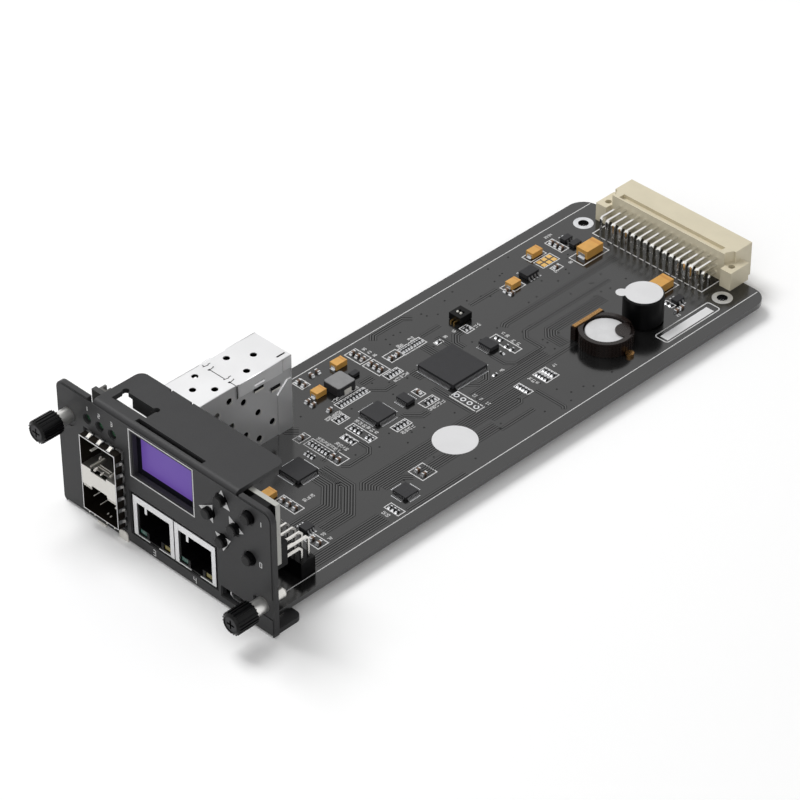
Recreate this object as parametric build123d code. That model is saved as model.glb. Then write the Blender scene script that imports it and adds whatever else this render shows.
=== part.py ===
from build123d import *
import math
import os

# Plug-in network management card: a bent front panel that carries two stacked module bays,
# two network jacks, a small display and a keypad, on a long circuit board with an edge connector.
# Sizes are in millimetres. Every place is measured from the lower left corner of the panel's front
# face: x to the right, y to the rear, z up. The last step moves that corner to centre the card.

# Sheet metal panel
PANEL_W = 83.8
PANEL_H = 41.3
SHEET_T = 1.5
BEND_R = 0.6
TOP_CORNER_R = 3.0
LOW_CORNER_R = 1.5
HOOD_X0 = 14.3
HOOD_X1 = 69.9
HOOD_D = 18.1
HOOD_CORNER_R = 2.5
FLANGE_INSET = 1.1
FLANGE_D = 10.7
FLANGE_CORNER_R = 2.0
RELIEF_W = 1.5
RELIEF_D = 3.0
TAB_SLOT_X = 17.3
TAB_SLOT_W = 13.1
TAB_SLOT_Y = 4.65
TAB_SLOT_D = 4.55
TAB_DROP = 3.0
THIN_SLOT_X = 28.1
THIN_SLOT_W = 27.1
THIN_SLOT_Y = 2.2
THIN_SLOT_D = 1.5
THIN_SLOT_GAP = 1.2
NICK_XS = (26.3, 34.4)
NICK_SIZE = 0.7
FILM_T = 0.2
FILM_INSET = 0.75
FILM_NOTCH_R = 3.4

# Gaps between pieces that fit in each other
RUN_GAP = 0.1
HOLE_GAP = 0.3
SEAT_GAP = 0.02

# Circuit board
BOARD_W = 74.1
BOARD_X = 6.05
BOARD_TOP = 4.93
BOARD_T = 1.6
BOARD_Y0 = 2.0
BOARD_Y1 = 202.4
BOARD_CORNER_R = 5.8
BOARD_HOLE_R = 1.6
BOARD_HOLE_X = 54.9
BOARD_HOLE_Y = 192.3
BOARD_HOLE_MID = 43.05
SPACER_R = 2.0
SPACER_Y = 6.6
SPACER_INSET = 2.9

# Stacked module cage
CAGE_X = 11.47
CAGE_W = 14.14
CAGE_H = 24.87
CAGE_FRONT = -2.7
CAGE_REAR = 61.5
CAGE_T = 0.3
CAGE_SEAM = 41.4
CAGE_GAP = 0.6
BAY_LOW_H = 8.8
MIDDLE_H = 6.4
MIDDLE_NOTCH_W = 6.2
MIDDLE_NOTCH_D = 0.8
MIDDLE_D = 43.0
TONGUE_W = 2.1
TONGUE_L = 2.1
TONGUE_INSETS = (2.9, 3.1)
FLAP_Y = 42.2
FLAP_DROP = 4.4
FLAP_SPLIT = 58.3
FLAP_SPLIT_W = 0.6
WING_Y0 = 56.4
WING_Y1 = 60.2
WING_TOP = 22.0
WING_SLANT = 3.5
HATCH_Y = 47.9
HATCH_L = 3.7
HATCH_T = 1.0
HATCH_DROP = 2.6
BODY_SLIT_Y = 54.1
BODY_SLIT_DROP = 7.6
COVER_SLIT_Y = 58.1
COVER_SLIT_L = 3.1
VENT_R = 1.0
FINGER_W = 1.3
FINGER_L = 3.2
FINGER_RISE = 0.45

# Cage vents: sideways from the cage's middle and y on top; y and drop from the top on the sides
TOP_VENTS = ((-4.1, 36.5), (0.0, 31.9), (4.1, 36.3), (0.0, 23.6))
COVER_VENTS = ((-4.1, 48.2), (0.0, 54.5), (4.1, 48.1))
SIDE_VENTS = (
    (34.0, 6.4), (38.7, 3.9), (39.2, 12.7), (43.9, 7.0), (44.3, 18.6), (49.1, 13.2), (49.2, 22.3), (54.3, 19.1),
)

# Host connector behind the bays
HOST_INSET = 1.2
HOST_Y = 52.0
HOST_DROP = 2.5
HOST_GAP = 0.4
CARD_SLOT_D = 7.0
CARD_SLOT_RISE = 1.6
CARD_SLOT_H = 5.2
CARD_SLOT_GAP = 1.4
CARD_T = 1.2

# Network jacks
JACK_X = 29.5
JACK_W = 15.9
JACK_PITCH = 16.3
JACK_H = 13.35
JACK_FRONT = -0.35
JACK_D = 21.3
JACK_T = 0.3
JACK_SIDE_RIM = 1.5
JACK_TOP_RIM = 2.1
JACK_LOW_RIM = 0.35
JACK_LATCH_W = 3.6
JACK_SPRING_X = 4.6
JACK_SPRING_W = 0.9
JACK_SPRING_L = 2.1
PLUG_W = 11.9
PLUG_H = 8.2
PLUG_Z = 2.7
PLUG_D = 13.5
LATCH_W = 4.8
LATCH_H = 2.3
LAMP_W = 3.0
LAMP_H = 1.9
WIRE_PITCH = 1.02
WIRE_W = 0.4

# Console jack, sunk into the board's front edge
CONSOLE_X = 65.9
CONSOLE_W = 7.6
CONSOLE_Z = 3.5
CONSOLE_H = 2.6
CONSOLE_Y = 0.8
CONSOLE_D = 5.6
CONSOLE_T = 0.3
CONSOLE_SLOT_X = 63.6
CONSOLE_SLOT_W = 10.2
CONSOLE_SLOT_Z = 3.2
CONSOLE_SLOT_H = 3.2

# Display and keypad behind the panel, above the jacks
WINDOW_X = 30.3
WINDOW_RISE = 6.7
WINDOW_W = 23.1
WINDOW_DROP = 2.3
KEYPAD_Y = 5.2
KEYPAD_T = 1.6
KEYPAD_X0 = 8.4
KEYPAD_X1 = 79.5
KEYPAD_RISE = 1.0
KEYPAD_DROP = 2.1
DISPLAY_RIM = 1.9
DISPLAY_SINK = 0.9
GLASS_T = 0.7
GLASS_RIM = 0.9
LAMP_XS = (12.4, 17.4, 22.4)
LAMP_RISE = 4.35
PANEL_LAMP_R = 1.05
KEY_RISE = 4.4
KEY_DROP = 5.1
KEYS = {
    "up": (64.95, 2),
    "left": (60.0, 1),
    "right": (69.8, 1),
    "down": (64.95, 0),
    "ok": (75.15, 2),
    "esc": (75.15, 0),
}
BUTTON_R = 1.75
BUTTON_OUT = 2.0
BUTTON_TRAVEL = 0.4
SWITCH_W = 6.0
SWITCH_APART = 0.76
SWITCH_GAP = 0.3
COLLAR_R = 2.3
COLLAR_T = 0.7
CLIP_INSET = 1.2
CLIP_W = 2.8
CLIP_D = 2.2
CLIP_H = 3.0
CLIP_WALL = 0.7
CLIP_NOTCH = 1.6
RESET_X = 76.6
RESET_Z = 10.3
RESET_R = 0.5

# Captive thumbscrews: they stand out at rest and slide in against the chassis thread
SCREW_INSET = 4.5
SCREW_DROP = 10.0
SCREW_RISE = 9.5
FERRULE_R = 2.25
FERRULE_OUT = 4.5
FERRULE_FLANGE_R = 2.9
FERRULE_FLANGE_T = 0.5
SCREW_R = 1.5
SCREW_NECK_R = 1.2
SCREW_TRAVEL = 4.0
SCREW_TIP = 7.5
KNOB_R = 3.45
KNOB_L = 7.2
KNOB_FLUTES = 20
KNOB_FLUTE_R = 0.32
KNOB_BEVEL = 0.55
KNOB_DISC_R = 2.25
RECESS_W = 0.55
RECESS_L = 2.9
RECESS_D = 0.7
WASHER_R = 2.4
WASHER_T = 0.6

# Rear connector, three rows of pins
ROW_COUNT = 3
PIN_COUNT = 16
PITCH = 2.54
PIN_X0 = 24.33
PIN_W = 0.6
PIN_TAIL = 1.2
ROW_TOP = 12.0
BODY_X0 = 19.65
BODY_X1 = 67.0
BODY_Y0 = 198.6
BODY_Y1 = 209.0
BODY_Z0 = 3.3
BODY_Z1 = 14.7
SHELL_WALL = 1.7
SHELL_DEPTH = 6.3
EAR_X0 = 16.8
EAR_X1 = 69.9
EAR_Y0 = 196.4
EAR_TOP = 11.0
EAR_REAR = 204.5
EAR_HOLE_R = 1.0
EAR_HOLE_Y = 199.4
EAR_HOLE_INSET = 2.3
HEX_ACROSS = 4.6
GROOVE_Y = 199.2
GROOVE_W = 2.2
GROOVE_DEEP = 1.2
GROOVE_INSET = 3.8

# Pin header that joins the keypad board to the main board
HEADER_PINS = 5
HEADER_X = 73.9
HEADER_Z = 16.9
HEADER_TOP = 10.0
HEADER_LEG_Y = 19.0
SOCKET_D = 6.2
SOCKET_Z0 = 13.0
SOCKET_Z1 = 21.0

# Larger parts on the board
BUZZER = (60.9, 168.3)
BUZZER_R = 6.1
BUZZER_H = 9.2
LABEL_R = 5.6
CELL = (60.8, 152.4)
CELL_R = 6.25
CELL_T = 2.1
HOLDER_R = 8.0
HOLDER_H = 4.6
HOLDER_FLOOR = 1.6
CONTACT_T = 0.3
BLOCK_L = 12.4
TAB_R = 1.3
PROCESSOR = (38.6, 112.3)
PROCESSOR_W = 14.0
PROCESSOR_H = 1.5
PROCESSOR_LEAD_COUNT = 25
LEAD_PITCH = 0.5
LEAD_REACH = 1.0
LEAD_FOOT = 0.55
LEAD_T = 0.15
LEAD_TOP = 0.75
CONTROLLER = (38.9, 82.1)
CONTROLLER_W = 7.2
CONTROLLER_H = 1.3
CONTROLLER_LEAD_COUNT = 12
INDUCTOR = (22.3, 83.4)
DIP = (23.4, 131.2)
DIP_W = 4.6
DIP_L = 4.8
DIP_H = 2.4
LEVER_PITCH = 1.27
LEVER_W = 0.6
LEVER_TRAVEL = 1.0
STICKER = (62.3, 89.0)
STICKER_R = 6.5


def block(x0, x1, y0, y1, z0, z1):
    """A box between two corners."""
    size = Box(x1 - x0, y1 - y0, z1 - z0, align=(Align.MIN, Align.MIN, Align.MIN))
    return Pos(x0, y0, z0) * size


def standing(x, y, width, length, z0, height):
    """A box centred on a point of the board."""
    return block(x - width / 2, x + width / 2, y - length / 2, y + length / 2, z0, z0 + height)


def post(x, y, radius, z0, z1):
    """An upright round bar."""
    return Pos(x, y, (z0 + z1) / 2) * Cylinder(radius, z1 - z0)


def bar(x, z, radius, y0, y1):
    """A round bar that runs from front to rear."""
    return Pos(x, (y0 + y1) / 2, z) * Rot(90, 0, 0) * Cylinder(radius, y1 - y0)


def cross_bar(y, z, radius, x0, x1):
    """A round bar that runs from left to right."""
    return Pos((x0 + x1) / 2, y, z) * Rot(0, 90, 0) * Cylinder(radius, x1 - x0)


def rect(x0, x1, y0, y1):
    """A flat rectangle between two corners."""
    return Pos((x0 + x1) / 2, (y0 + y1) / 2) * Rectangle(x1 - x0, y1 - y0)


def along_x(sketch, x0, x1):
    """Carry a sketch drawn in (y, z) from x0 to x1."""
    plane = Plane(origin=(x0, 0, 0), x_dir=(0, 1, 0), z_dir=(1, 0, 0))
    return extrude(plane * sketch, x1 - x0)


def along_y(sketch, y0, y1):
    """Carry a sketch drawn in (x, z) from y0 to y1."""
    plane = Plane(origin=(0, y1, 0), x_dir=(1, 0, 0), z_dir=(0, -1, 0))
    return extrude(plane * sketch, y1 - y0)


def along_z(sketch, z0, z1):
    """Carry a sketch drawn in (x, y) from z0 to z1."""
    return extrude(Pos(0, 0, z0) * sketch, z1 - z0)


def outline(*points):
    """A flat face with straight sides."""
    return make_face(Polyline(*points, close=True))


def nearest_corner(sketch, x, y):
    """The corner of a sketch nearest to a point."""
    return min(sketch.vertices(), key=lambda v: math.hypot(v.X - x, v.Y - y))


def round_corners(sketch, points, radius):
    """Round the corners of a sketch that lie nearest to the points."""
    return fillet([nearest_corner(sketch, x, y) for x, y in points], radius)


def bent_corner(leg_y, leg_z):
    """Section of a bent sheet: the outer corner is at the origin, the legs run along +y and +z."""
    outer = round_corners(rect(0, leg_y, 0, leg_z), [(0, 0)], BEND_R + SHEET_T)
    inner = round_corners(rect(SHEET_T, leg_y, SHEET_T, leg_z), [(SHEET_T, SHEET_T)], BEND_R)
    return outer - inner


def panel_face(inset):
    """The panel's outline, drawn in (x, z), moved in from every edge."""
    face = rect(inset, PANEL_W - inset, inset, PANEL_H - inset)
    high = [(inset, PANEL_H), (PANEL_W - inset, PANEL_H)]
    face = round_corners(face, high, TOP_CORNER_R - inset)
    low = [(inset, inset), (PANEL_W - inset, inset)]
    return round_corners(face, low, LOW_CORNER_R - inset)


def jack_left(index):
    """Left side of a network jack."""
    return JACK_X + index * JACK_PITCH


def cage_top():
    """Top of the module cage."""
    return BOARD_TOP + CAGE_H


def window_zs():
    """Foot and head of the display window: it stands above the jacks and ends below the panel's top."""
    return (BOARD_TOP + JACK_H + WINDOW_RISE, PANEL_H - WINDOW_DROP)


def keypad_zs():
    """Foot and head of the keypad board."""
    return (BOARD_TOP + JACK_H + KEYPAD_RISE, PANEL_H - KEYPAD_DROP)


def key_pitch():
    """Height between the keys' three rows, from above the jacks to below the panel's top."""
    return (PANEL_H - KEY_DROP - BOARD_TOP - JACK_H - KEY_RISE) / 2


def key_places():
    """Name and (x, z) of every key; row 0 is the lowest."""
    foot = BOARD_TOP + JACK_H + KEY_RISE
    return {name: (x, foot + row * key_pitch()) for name, (x, row) in KEYS.items()}


def lamp_z():
    """Height of the three panel lamps above the cage."""
    return cage_top() + LAMP_RISE


def screw_places():
    """Name and (x, z) of both thumbscrews: one hangs from the panel's top, one stands above its foot."""
    return {"left": (SCREW_INSET, PANEL_H - SCREW_DROP), "right": (PANEL_W - SCREW_INSET, SCREW_RISE)}


def panel_cutouts(ease):
    """All openings of the panel, drawn in (x, z) and eased outwards."""
    cage = rect(
        CAGE_X - CAGE_GAP - ease,
        CAGE_X + CAGE_W + CAGE_GAP + ease,
        BOARD_TOP - CAGE_GAP - ease,
        cage_top() + CAGE_GAP + ease,
    )
    jacks = rect(
        JACK_X - 4 * HOLE_GAP - ease,
        jack_left(1) + JACK_W + HOLE_GAP + ease,
        BOARD_TOP - 2 * HOLE_GAP - ease,
        BOARD_TOP + JACK_H + HOLE_GAP + ease,
    )
    foot, head = window_zs()
    window = rect(WINDOW_X - ease, WINDOW_X + WINDOW_W + ease, foot - ease, head + ease)
    console = rect(
        CONSOLE_SLOT_X - ease,
        CONSOLE_SLOT_X + CONSOLE_SLOT_W + ease,
        CONSOLE_SLOT_Z - ease,
        CONSOLE_SLOT_Z + CONSOLE_SLOT_H + ease,
    )
    holes = cage + jacks + window + console
    for x, z in key_places().values():
        holes += Pos(x, z) * Circle(BUTTON_R + HOLE_GAP + ease)
    for x in LAMP_XS:
        holes += Pos(x, lamp_z()) * Circle(PANEL_LAMP_R + HOLE_GAP + ease)
    holes += Pos(RESET_X, RESET_Z) * Circle(RESET_R + ease)
    return holes


def front_panel():
    """One bent sheet: the face, a hood bent back from its top and a flange from its foot."""
    face = along_y(panel_face(0), 0, SHEET_T)
    bend = BEND_R + SHEET_T
    face -= block(HOOD_X0, HOOD_X1, -1, SHEET_T + 1, PANEL_H - bend, PANEL_H + 1)
    for x in (HOOD_X0 - RELIEF_W, HOOD_X1):
        face -= block(x, x + RELIEF_W, -1, SHEET_T + 1, PANEL_H - RELIEF_D, PANEL_H + 1)
    foot_x0 = FLANGE_INSET
    foot_x1 = PANEL_W - FLANGE_INSET
    face -= block(foot_x0, foot_x1, -1, SHEET_T + 1, -1, bend)

    hood = along_x(Pos(0, PANEL_H) * mirror(bent_corner(HOOD_D, bend), about=Plane.XZ), HOOD_X0, HOOD_X1)
    for x in (HOOD_X0, HOOD_X1):
        edge = hood.edges().filter_by(Axis.Z).sort_by_distance((x, HOOD_D, PANEL_H))[0]
        hood = fillet(edge, HOOD_CORNER_R)
    foot = along_x(bent_corner(FLANGE_D, bend), foot_x0, foot_x1)
    for x in (foot_x0, foot_x1):
        edge = foot.edges().filter_by(Axis.Z).sort_by_distance((x, FLANGE_D, 0))[0]
        foot = fillet(edge, FLANGE_CORNER_R)

    slots = rect(TAB_SLOT_X, TAB_SLOT_X + TAB_SLOT_W, TAB_SLOT_Y, TAB_SLOT_Y + TAB_SLOT_D)
    for x in (TAB_SLOT_X + 0.5, TAB_SLOT_X + TAB_SLOT_W - 0.5):
        slots += Pos(x, TAB_SLOT_Y + TAB_SLOT_D) * Circle(1.0)
    thin_x = THIN_SLOT_X + THIN_SLOT_GAP
    slots += rect(thin_x, THIN_SLOT_X + THIN_SLOT_W, THIN_SLOT_Y, THIN_SLOT_Y + THIN_SLOT_D)
    for x in NICK_XS:
        slots += rect(x - NICK_SIZE / 2, x + NICK_SIZE / 2, HOOD_D - NICK_SIZE, HOOD_D + 1)
    hood -= along_z(slots, PANEL_H - SHEET_T - 1, PANEL_H + 1)
    tab_y = TAB_SLOT_Y + TAB_SLOT_D
    tab_x0 = TAB_SLOT_X + 2 * SHEET_T
    tab_x1 = TAB_SLOT_X + TAB_SLOT_W - 2 * SHEET_T
    hood += block(tab_x0, tab_x1, tab_y, tab_y + SHEET_T, PANEL_H - SHEET_T - TAB_DROP, PANEL_H - SHEET_T)

    panel = face + hood + foot
    panel -= along_y(panel_cutouts(0), -1, SHEET_T + 1)
    for x, z in screw_places().values():
        panel -= bar(x, z, FERRULE_R + SEAT_GAP, -1, SHEET_T + 1)
    return panel


def panel_overlay():
    """The printed film on the panel's face, notched round both thumbscrews."""
    film = panel_face(FILM_INSET) - panel_cutouts(HOLE_GAP)
    for x, z in screw_places().values():
        side = 0 if x < PANEL_W / 2 else PANEL_W
        notch = rect(min(x, side), max(x, side), z - FILM_NOTCH_R, z + FILM_NOTCH_R)
        film -= notch + Pos(x, z) * Circle(FILM_NOTCH_R)
    return along_y(film, -FILM_T, 0)


def main_board():
    """The long circuit board with its mounting holes, pin holes and console notch."""
    x1 = BOARD_X + BOARD_W
    shape = rect(BOARD_X, x1, BOARD_Y0, BOARD_Y1)
    shape = round_corners(shape, [(BOARD_X, BOARD_Y1), (x1, BOARD_Y1)], BOARD_CORNER_R)
    for x in board_hole_xs():
        shape -= Pos(x, BOARD_HOLE_Y) * Circle(BOARD_HOLE_R)
    shape -= rect(
        CONSOLE_X - HOLE_GAP,
        CONSOLE_X + CONSOLE_W + HOLE_GAP,
        BOARD_Y0 - 1,
        CONSOLE_Y + CONSOLE_D + HOLE_GAP,
    )
    for row in range(ROW_COUNT):
        for x in pin_xs():
            shape -= Pos(x, pin_leg_y(row)) * Rectangle(PIN_W + 2 * RUN_GAP, PIN_W + 2 * RUN_GAP)
    for x in ear_hole_xs():
        shape -= Pos(x, EAR_HOLE_Y) * Circle(EAR_HOLE_R)
    return along_z(shape, BOARD_TOP - BOARD_T, BOARD_TOP)


def board_hole_xs():
    """The two mounting holes near the board's rear corners."""
    return (BOARD_HOLE_MID - BOARD_HOLE_X / 2, BOARD_HOLE_MID + BOARD_HOLE_X / 2)


def board_spacers():
    """Round spacers between the panel's foot and the board."""
    spacers = []
    for x in (BOARD_X + SPACER_INSET, BOARD_X + BOARD_W - SPACER_INSET):
        spacers.append(post(x, SPACER_Y, SPACER_R, SHEET_T, BOARD_TOP - BOARD_T))
    return spacers


def cage_walls(x0, x1, y0, y1, z0, z1):
    """A tube of thin sheet that is open at both ends."""
    inner = block(x0 + CAGE_T, x1 - CAGE_T, y0 - 1, y1 + 1, z0 + CAGE_T, z1 - CAGE_T)
    return block(x0, x1, y0, y1, z0, z1) - inner


def tongues(ease):
    """The two tongues that lock the seam on the cage's top, eased outwards for their notches."""
    top = cage_top()
    low = CAGE_SEAM - CAGE_T
    shapes = []
    for middle in (CAGE_X + TONGUE_INSETS[0], CAGE_X + CAGE_W - TONGUE_INSETS[1]):
        half = TONGUE_W / 2 + ease
        shapes.append(block(middle - half, middle + half, low, CAGE_SEAM + TONGUE_L + ease, top - CAGE_T, top))
    return shapes


def cage_body():
    """The cage's folded body, with round vents in its top and sides and two tongues over the seam."""
    x1 = CAGE_X + CAGE_W
    top = cage_top()
    body = cage_walls(CAGE_X, x1, CAGE_FRONT, CAGE_REAR, BOARD_TOP, top)
    body -= block(CAGE_X - 1, x1 + 1, CAGE_SEAM, CAGE_REAR + 1, top - CAGE_T, top + 1)
    middle = CAGE_X + CAGE_W / 2
    for aside, y in TOP_VENTS:
        body -= post(middle + aside, y, VENT_R, top - 1, top + 1)
    for y, drop in SIDE_VENTS:
        body -= cross_bar(y, top - drop, VENT_R, CAGE_X - 1, x1 + 1)
    slit = top - BODY_SLIT_DROP
    body -= block(CAGE_X - 1, x1 + 1, BODY_SLIT_Y, BODY_SLIT_Y + HATCH_L, slit - HATCH_T, slit)
    for tongue in tongues(0):
        body += tongue
    return body


def cage_cover():
    """The rear cover: a top with locking tongues, side flaps folded down and a rear wall."""
    x0 = CAGE_X - CAGE_T
    x1 = CAGE_X + CAGE_W + CAGE_T
    top = cage_top()
    rear = CAGE_REAR + CAGE_T
    cover = block(CAGE_X, x1 - CAGE_T, CAGE_SEAM + SEAT_GAP, rear, top - CAGE_T, top)
    cover += block(x0, x1, FLAP_Y, rear, top - CAGE_T, top)
    wing = outline(
        (WING_Y0, BOARD_TOP),
        (rear, BOARD_TOP),
        (rear, WING_TOP),
        (WING_Y1, WING_TOP),
        (WING_Y0, WING_TOP - WING_SLANT),
    )
    for x in (x0, x1 - CAGE_T):
        cover += block(x, x + CAGE_T, FLAP_Y, FLAP_SPLIT, top - FLAP_DROP, top)
        cover += block(x, x + CAGE_T, FLAP_SPLIT + FLAP_SPLIT_W, rear, top - FLAP_DROP + CAGE_T, top)
        cover += along_x(wing, x, x + CAGE_T)
    cover += block(x0, x1, CAGE_REAR, rear, BOARD_TOP, top)
    middle = CAGE_X + CAGE_W / 2
    for aside, y in COVER_VENTS:
        cover -= post(middle + aside, y, VENT_R, top - 1, top + 1)
    slit = middle + COVER_VENTS[2][0] + VENT_R
    cover -= block(slit, slit + FLAP_SPLIT_W, COVER_SLIT_Y, COVER_SLIT_Y + COVER_SLIT_L, top - 1, top + 1)
    for x in (x0 - 1, x1 - 1):
        cover -= block(x, x + 2, HATCH_Y, HATCH_Y + HATCH_L, top - HATCH_DROP - HATCH_T, top - HATCH_DROP)
    for notch in tongues(SEAT_GAP):
        cover -= notch
    return cover


def cage_middle():
    """The bright channel between the two bays, notched for both module latches."""
    x0 = CAGE_X + CAGE_T
    x1 = CAGE_X + CAGE_W - CAGE_T
    z0 = BOARD_TOP + BAY_LOW_H
    z1 = z0 + MIDDLE_H
    channel = block(x0, x1, CAGE_FRONT, MIDDLE_D, z0, z1)
    channel -= block(x0 - 1, x1 + 1, CAGE_FRONT + CAGE_T, MIDDLE_D + 1, z0 + CAGE_T, z1 - CAGE_T)
    middle = (x0 + x1) / 2
    half = MIDDLE_NOTCH_W / 2
    for low in (z0 - 1, z1 - MIDDLE_NOTCH_D):
        high = low + 1 + MIDDLE_NOTCH_D
        channel -= block(middle - half, middle + half, CAGE_FRONT - 1, CAGE_FRONT + 1.2, low, high)
    return channel


def module_connector():
    """The black host connector behind both bays, with a card slot for each."""
    x0 = CAGE_X + HOST_INSET
    x1 = CAGE_X + CAGE_W - HOST_INSET
    front = MIDDLE_D + CARD_SLOT_GAP
    body = block(x0, x1, HOST_Y, CAGE_REAR - HOST_GAP, BOARD_TOP + CAGE_T, cage_top() - HOST_DROP)
    for foot in (BOARD_TOP, BOARD_TOP + BAY_LOW_H + MIDDLE_H):
        z = foot + CARD_SLOT_RISE
        slot = z + (CARD_SLOT_H - CARD_T) / 2
        body += block(x0, x1, front, HOST_Y, z, z + CARD_SLOT_H)
        body -= block(x0 + HOST_INSET, x1 - HOST_INSET, front - 1, front + CARD_SLOT_D - 1, slot, slot + CARD_T)
    return body


def finger(length, rise):
    """Section of a spring finger: it climbs from its root and drops back at its tip."""
    return outline((0, 0), (length, 0), (length, rise * 0.3), (length * 0.6, rise))


def spring_fingers():
    """Earthing fingers round the cage's mouth, three across and six up each side."""
    y0 = CAGE_FRONT + 0.4
    fingers = []
    top = cage_top()
    for index in range(3):
        x = CAGE_X + (index + 0.65) * CAGE_W / 3.4
        plane = Plane(origin=(x - FINGER_W / 2, y0, top), x_dir=(0, 1, 0), z_dir=(1, 0, 0))
        fingers.append(extrude(plane * finger(FINGER_L, FINGER_RISE), FINGER_W))
    for index in range(6):
        z = BOARD_TOP + (index + 0.6) * CAGE_H / 6.4
        right = Plane(origin=(CAGE_X + CAGE_W, y0, z - FINGER_W / 2), x_dir=(0, 1, 0), z_dir=(0, 0, -1))
        left = Plane(origin=(CAGE_X, y0, z - FINGER_W / 2), x_dir=(0, 1, 0), z_dir=(0, 0, 1))
        fingers.append(extrude(right * finger(FINGER_L, FINGER_RISE), -FINGER_W))
        fingers.append(extrude(left * finger(FINGER_L, FINGER_RISE), FINGER_W))
    return fingers


def jack_shield(index):
    """The jack's metal shield: a box with a wide folded rim round its mouth and one contact spring."""
    x0 = jack_left(index)
    x1 = x0 + JACK_W
    z0 = BOARD_TOP
    z1 = z0 + JACK_H
    rear = JACK_FRONT + JACK_D
    shield = block(x0, x1, JACK_FRONT, rear, z0, z1)
    shield -= block(x0 + JACK_T, x1 - JACK_T, JACK_FRONT + JACK_T, rear - JACK_T, z0 - 1, z1 - JACK_T)
    mouth = rect(x0 + JACK_SIDE_RIM, x1 - JACK_SIDE_RIM, z0 + JACK_LOW_RIM, z1 - JACK_TOP_RIM)
    middle = (x0 + x1) / 2
    mouth += rect(middle - JACK_LATCH_W / 2, middle + JACK_LATCH_W / 2, z0 - 1, z0 + 1)
    shield -= along_y(mouth, JACK_FRONT - 1, JACK_FRONT + JACK_T)
    spring = x0 + JACK_SPRING_X
    head = z1 - JACK_TOP_RIM
    shield += block(spring, spring + JACK_SPRING_W, JACK_FRONT, JACK_FRONT + JACK_T, head - JACK_SPRING_L, head)
    return shield


def plug_hole(index):
    """Mouth of the plug's cavity, drawn in (x, z)."""
    middle = jack_left(index) + JACK_W / 2
    z = BOARD_TOP + PLUG_Z
    hole = rect(middle - PLUG_W / 2, middle + PLUG_W / 2, z, z + PLUG_H)
    return hole + rect(middle - LATCH_W / 2, middle + LATCH_W / 2, z - LATCH_H, z + 1)


def jack_insert(index):
    """The jack's black inside, with the plug's cavity and a pocket for each lamp."""
    x0 = jack_left(index) + JACK_T + SEAT_GAP
    x1 = jack_left(index) + JACK_W - JACK_T - SEAT_GAP
    y0 = JACK_FRONT + JACK_T + SEAT_GAP
    y1 = JACK_FRONT + JACK_D - JACK_T - SEAT_GAP
    z1 = BOARD_TOP + JACK_H - JACK_T - SEAT_GAP
    body = block(x0, x1, y0, y1, BOARD_TOP, z1)
    body -= along_y(plug_hole(index), y0 - 1, PLUG_D)
    for x in lamp_xs(index):
        z = BOARD_TOP + JACK_LOW_RIM + HOLE_GAP
        body -= block(x, x + LAMP_W, y0 - 1, y0 + 3, z, z + LAMP_H)
    return body


def lamp_xs(index):
    """Left edges of a jack's two lamps."""
    x0 = jack_left(index)
    return (x0 + JACK_SIDE_RIM + 0.1, x0 + JACK_W - JACK_SIDE_RIM - 0.1 - LAMP_W)


def jack_lamps(side):
    """One lamp of each jack: side 0 shows the link and side 1 the traffic."""
    lamps = []
    y0 = JACK_FRONT + JACK_T + SEAT_GAP + 0.3
    z = BOARD_TOP + JACK_LOW_RIM + HOLE_GAP
    for index in range(2):
        x = lamp_xs(index)[side]
        lamps.append(block(x + 0.2, x + LAMP_W - 0.2, y0, y0 + 2.7, z + 0.2, z + LAMP_H - 0.2))
    return lamps


def jack_wires():
    """Eight contact wires in each jack, slanting back from the top of the cavity."""
    wires = []
    top = BOARD_TOP + PLUG_Z + PLUG_H
    section = outline((2.0, top), (2.5, top), (11.0, top - 2.3), (10.8, top - 2.6))
    for index in range(2):
        middle = jack_left(index) + JACK_W / 2
        for step in range(8):
            x = middle + (step - 3.5) * WIRE_PITCH
            wires.append(along_x(section, x - WIRE_W / 2, x + WIRE_W / 2))
    return wires


def console_section(inset):
    """The console jack's mouth, drawn in (x, z), with both lower corners cut away."""
    x0 = CONSOLE_X + inset
    x1 = CONSOLE_X + CONSOLE_W - inset
    z0 = CONSOLE_Z + inset
    z1 = CONSOLE_Z + CONSOLE_H - inset
    cut = 1.0 - inset / 2
    return outline((x0, z1), (x1, z1), (x1, z0 + cut), (x1 - cut, z0), (x0 + cut, z0), (x0, z0 + cut))


def console_shell():
    """The console jack's metal shell, closed at its rear."""
    shell = along_y(console_section(0), CONSOLE_Y, CONSOLE_Y + CONSOLE_D)
    rear = CONSOLE_Y + CONSOLE_D - CONSOLE_T
    shell -= along_y(console_section(CONSOLE_T), CONSOLE_Y - 1, rear)
    ear_z = BOARD_TOP
    for x0, x1 in ((CONSOLE_X - 1.2, CONSOLE_X), (CONSOLE_X + CONSOLE_W, CONSOLE_X + CONSOLE_W + 1.2)):
        shell += block(x0, x1, 2.6, 5.0, ear_z, ear_z + CONSOLE_T)
    return shell


def console_tongue():
    """The contact tongue inside the console jack."""
    middle = CONSOLE_X + CONSOLE_W / 2
    z = CONSOLE_Z + CONSOLE_H - CONSOLE_T - 1.0
    return block(middle - 1.9, middle + 1.9, CONSOLE_Y + 0.9, CONSOLE_Y + CONSOLE_D - CONSOLE_T, z, z + 0.6)


def keypad_board():
    """The upright board behind the panel, cut away above the module cage."""
    foot, head = keypad_zs()
    shape = rect(KEYPAD_X0, KEYPAD_X1, foot, head)
    shape -= rect(KEYPAD_X0 - 1, CAGE_X + CAGE_W + 2 * CAGE_GAP, foot - 1, cage_top() + CAGE_GAP)
    return along_y(shape, KEYPAD_Y, KEYPAD_Y + KEYPAD_T)


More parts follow.
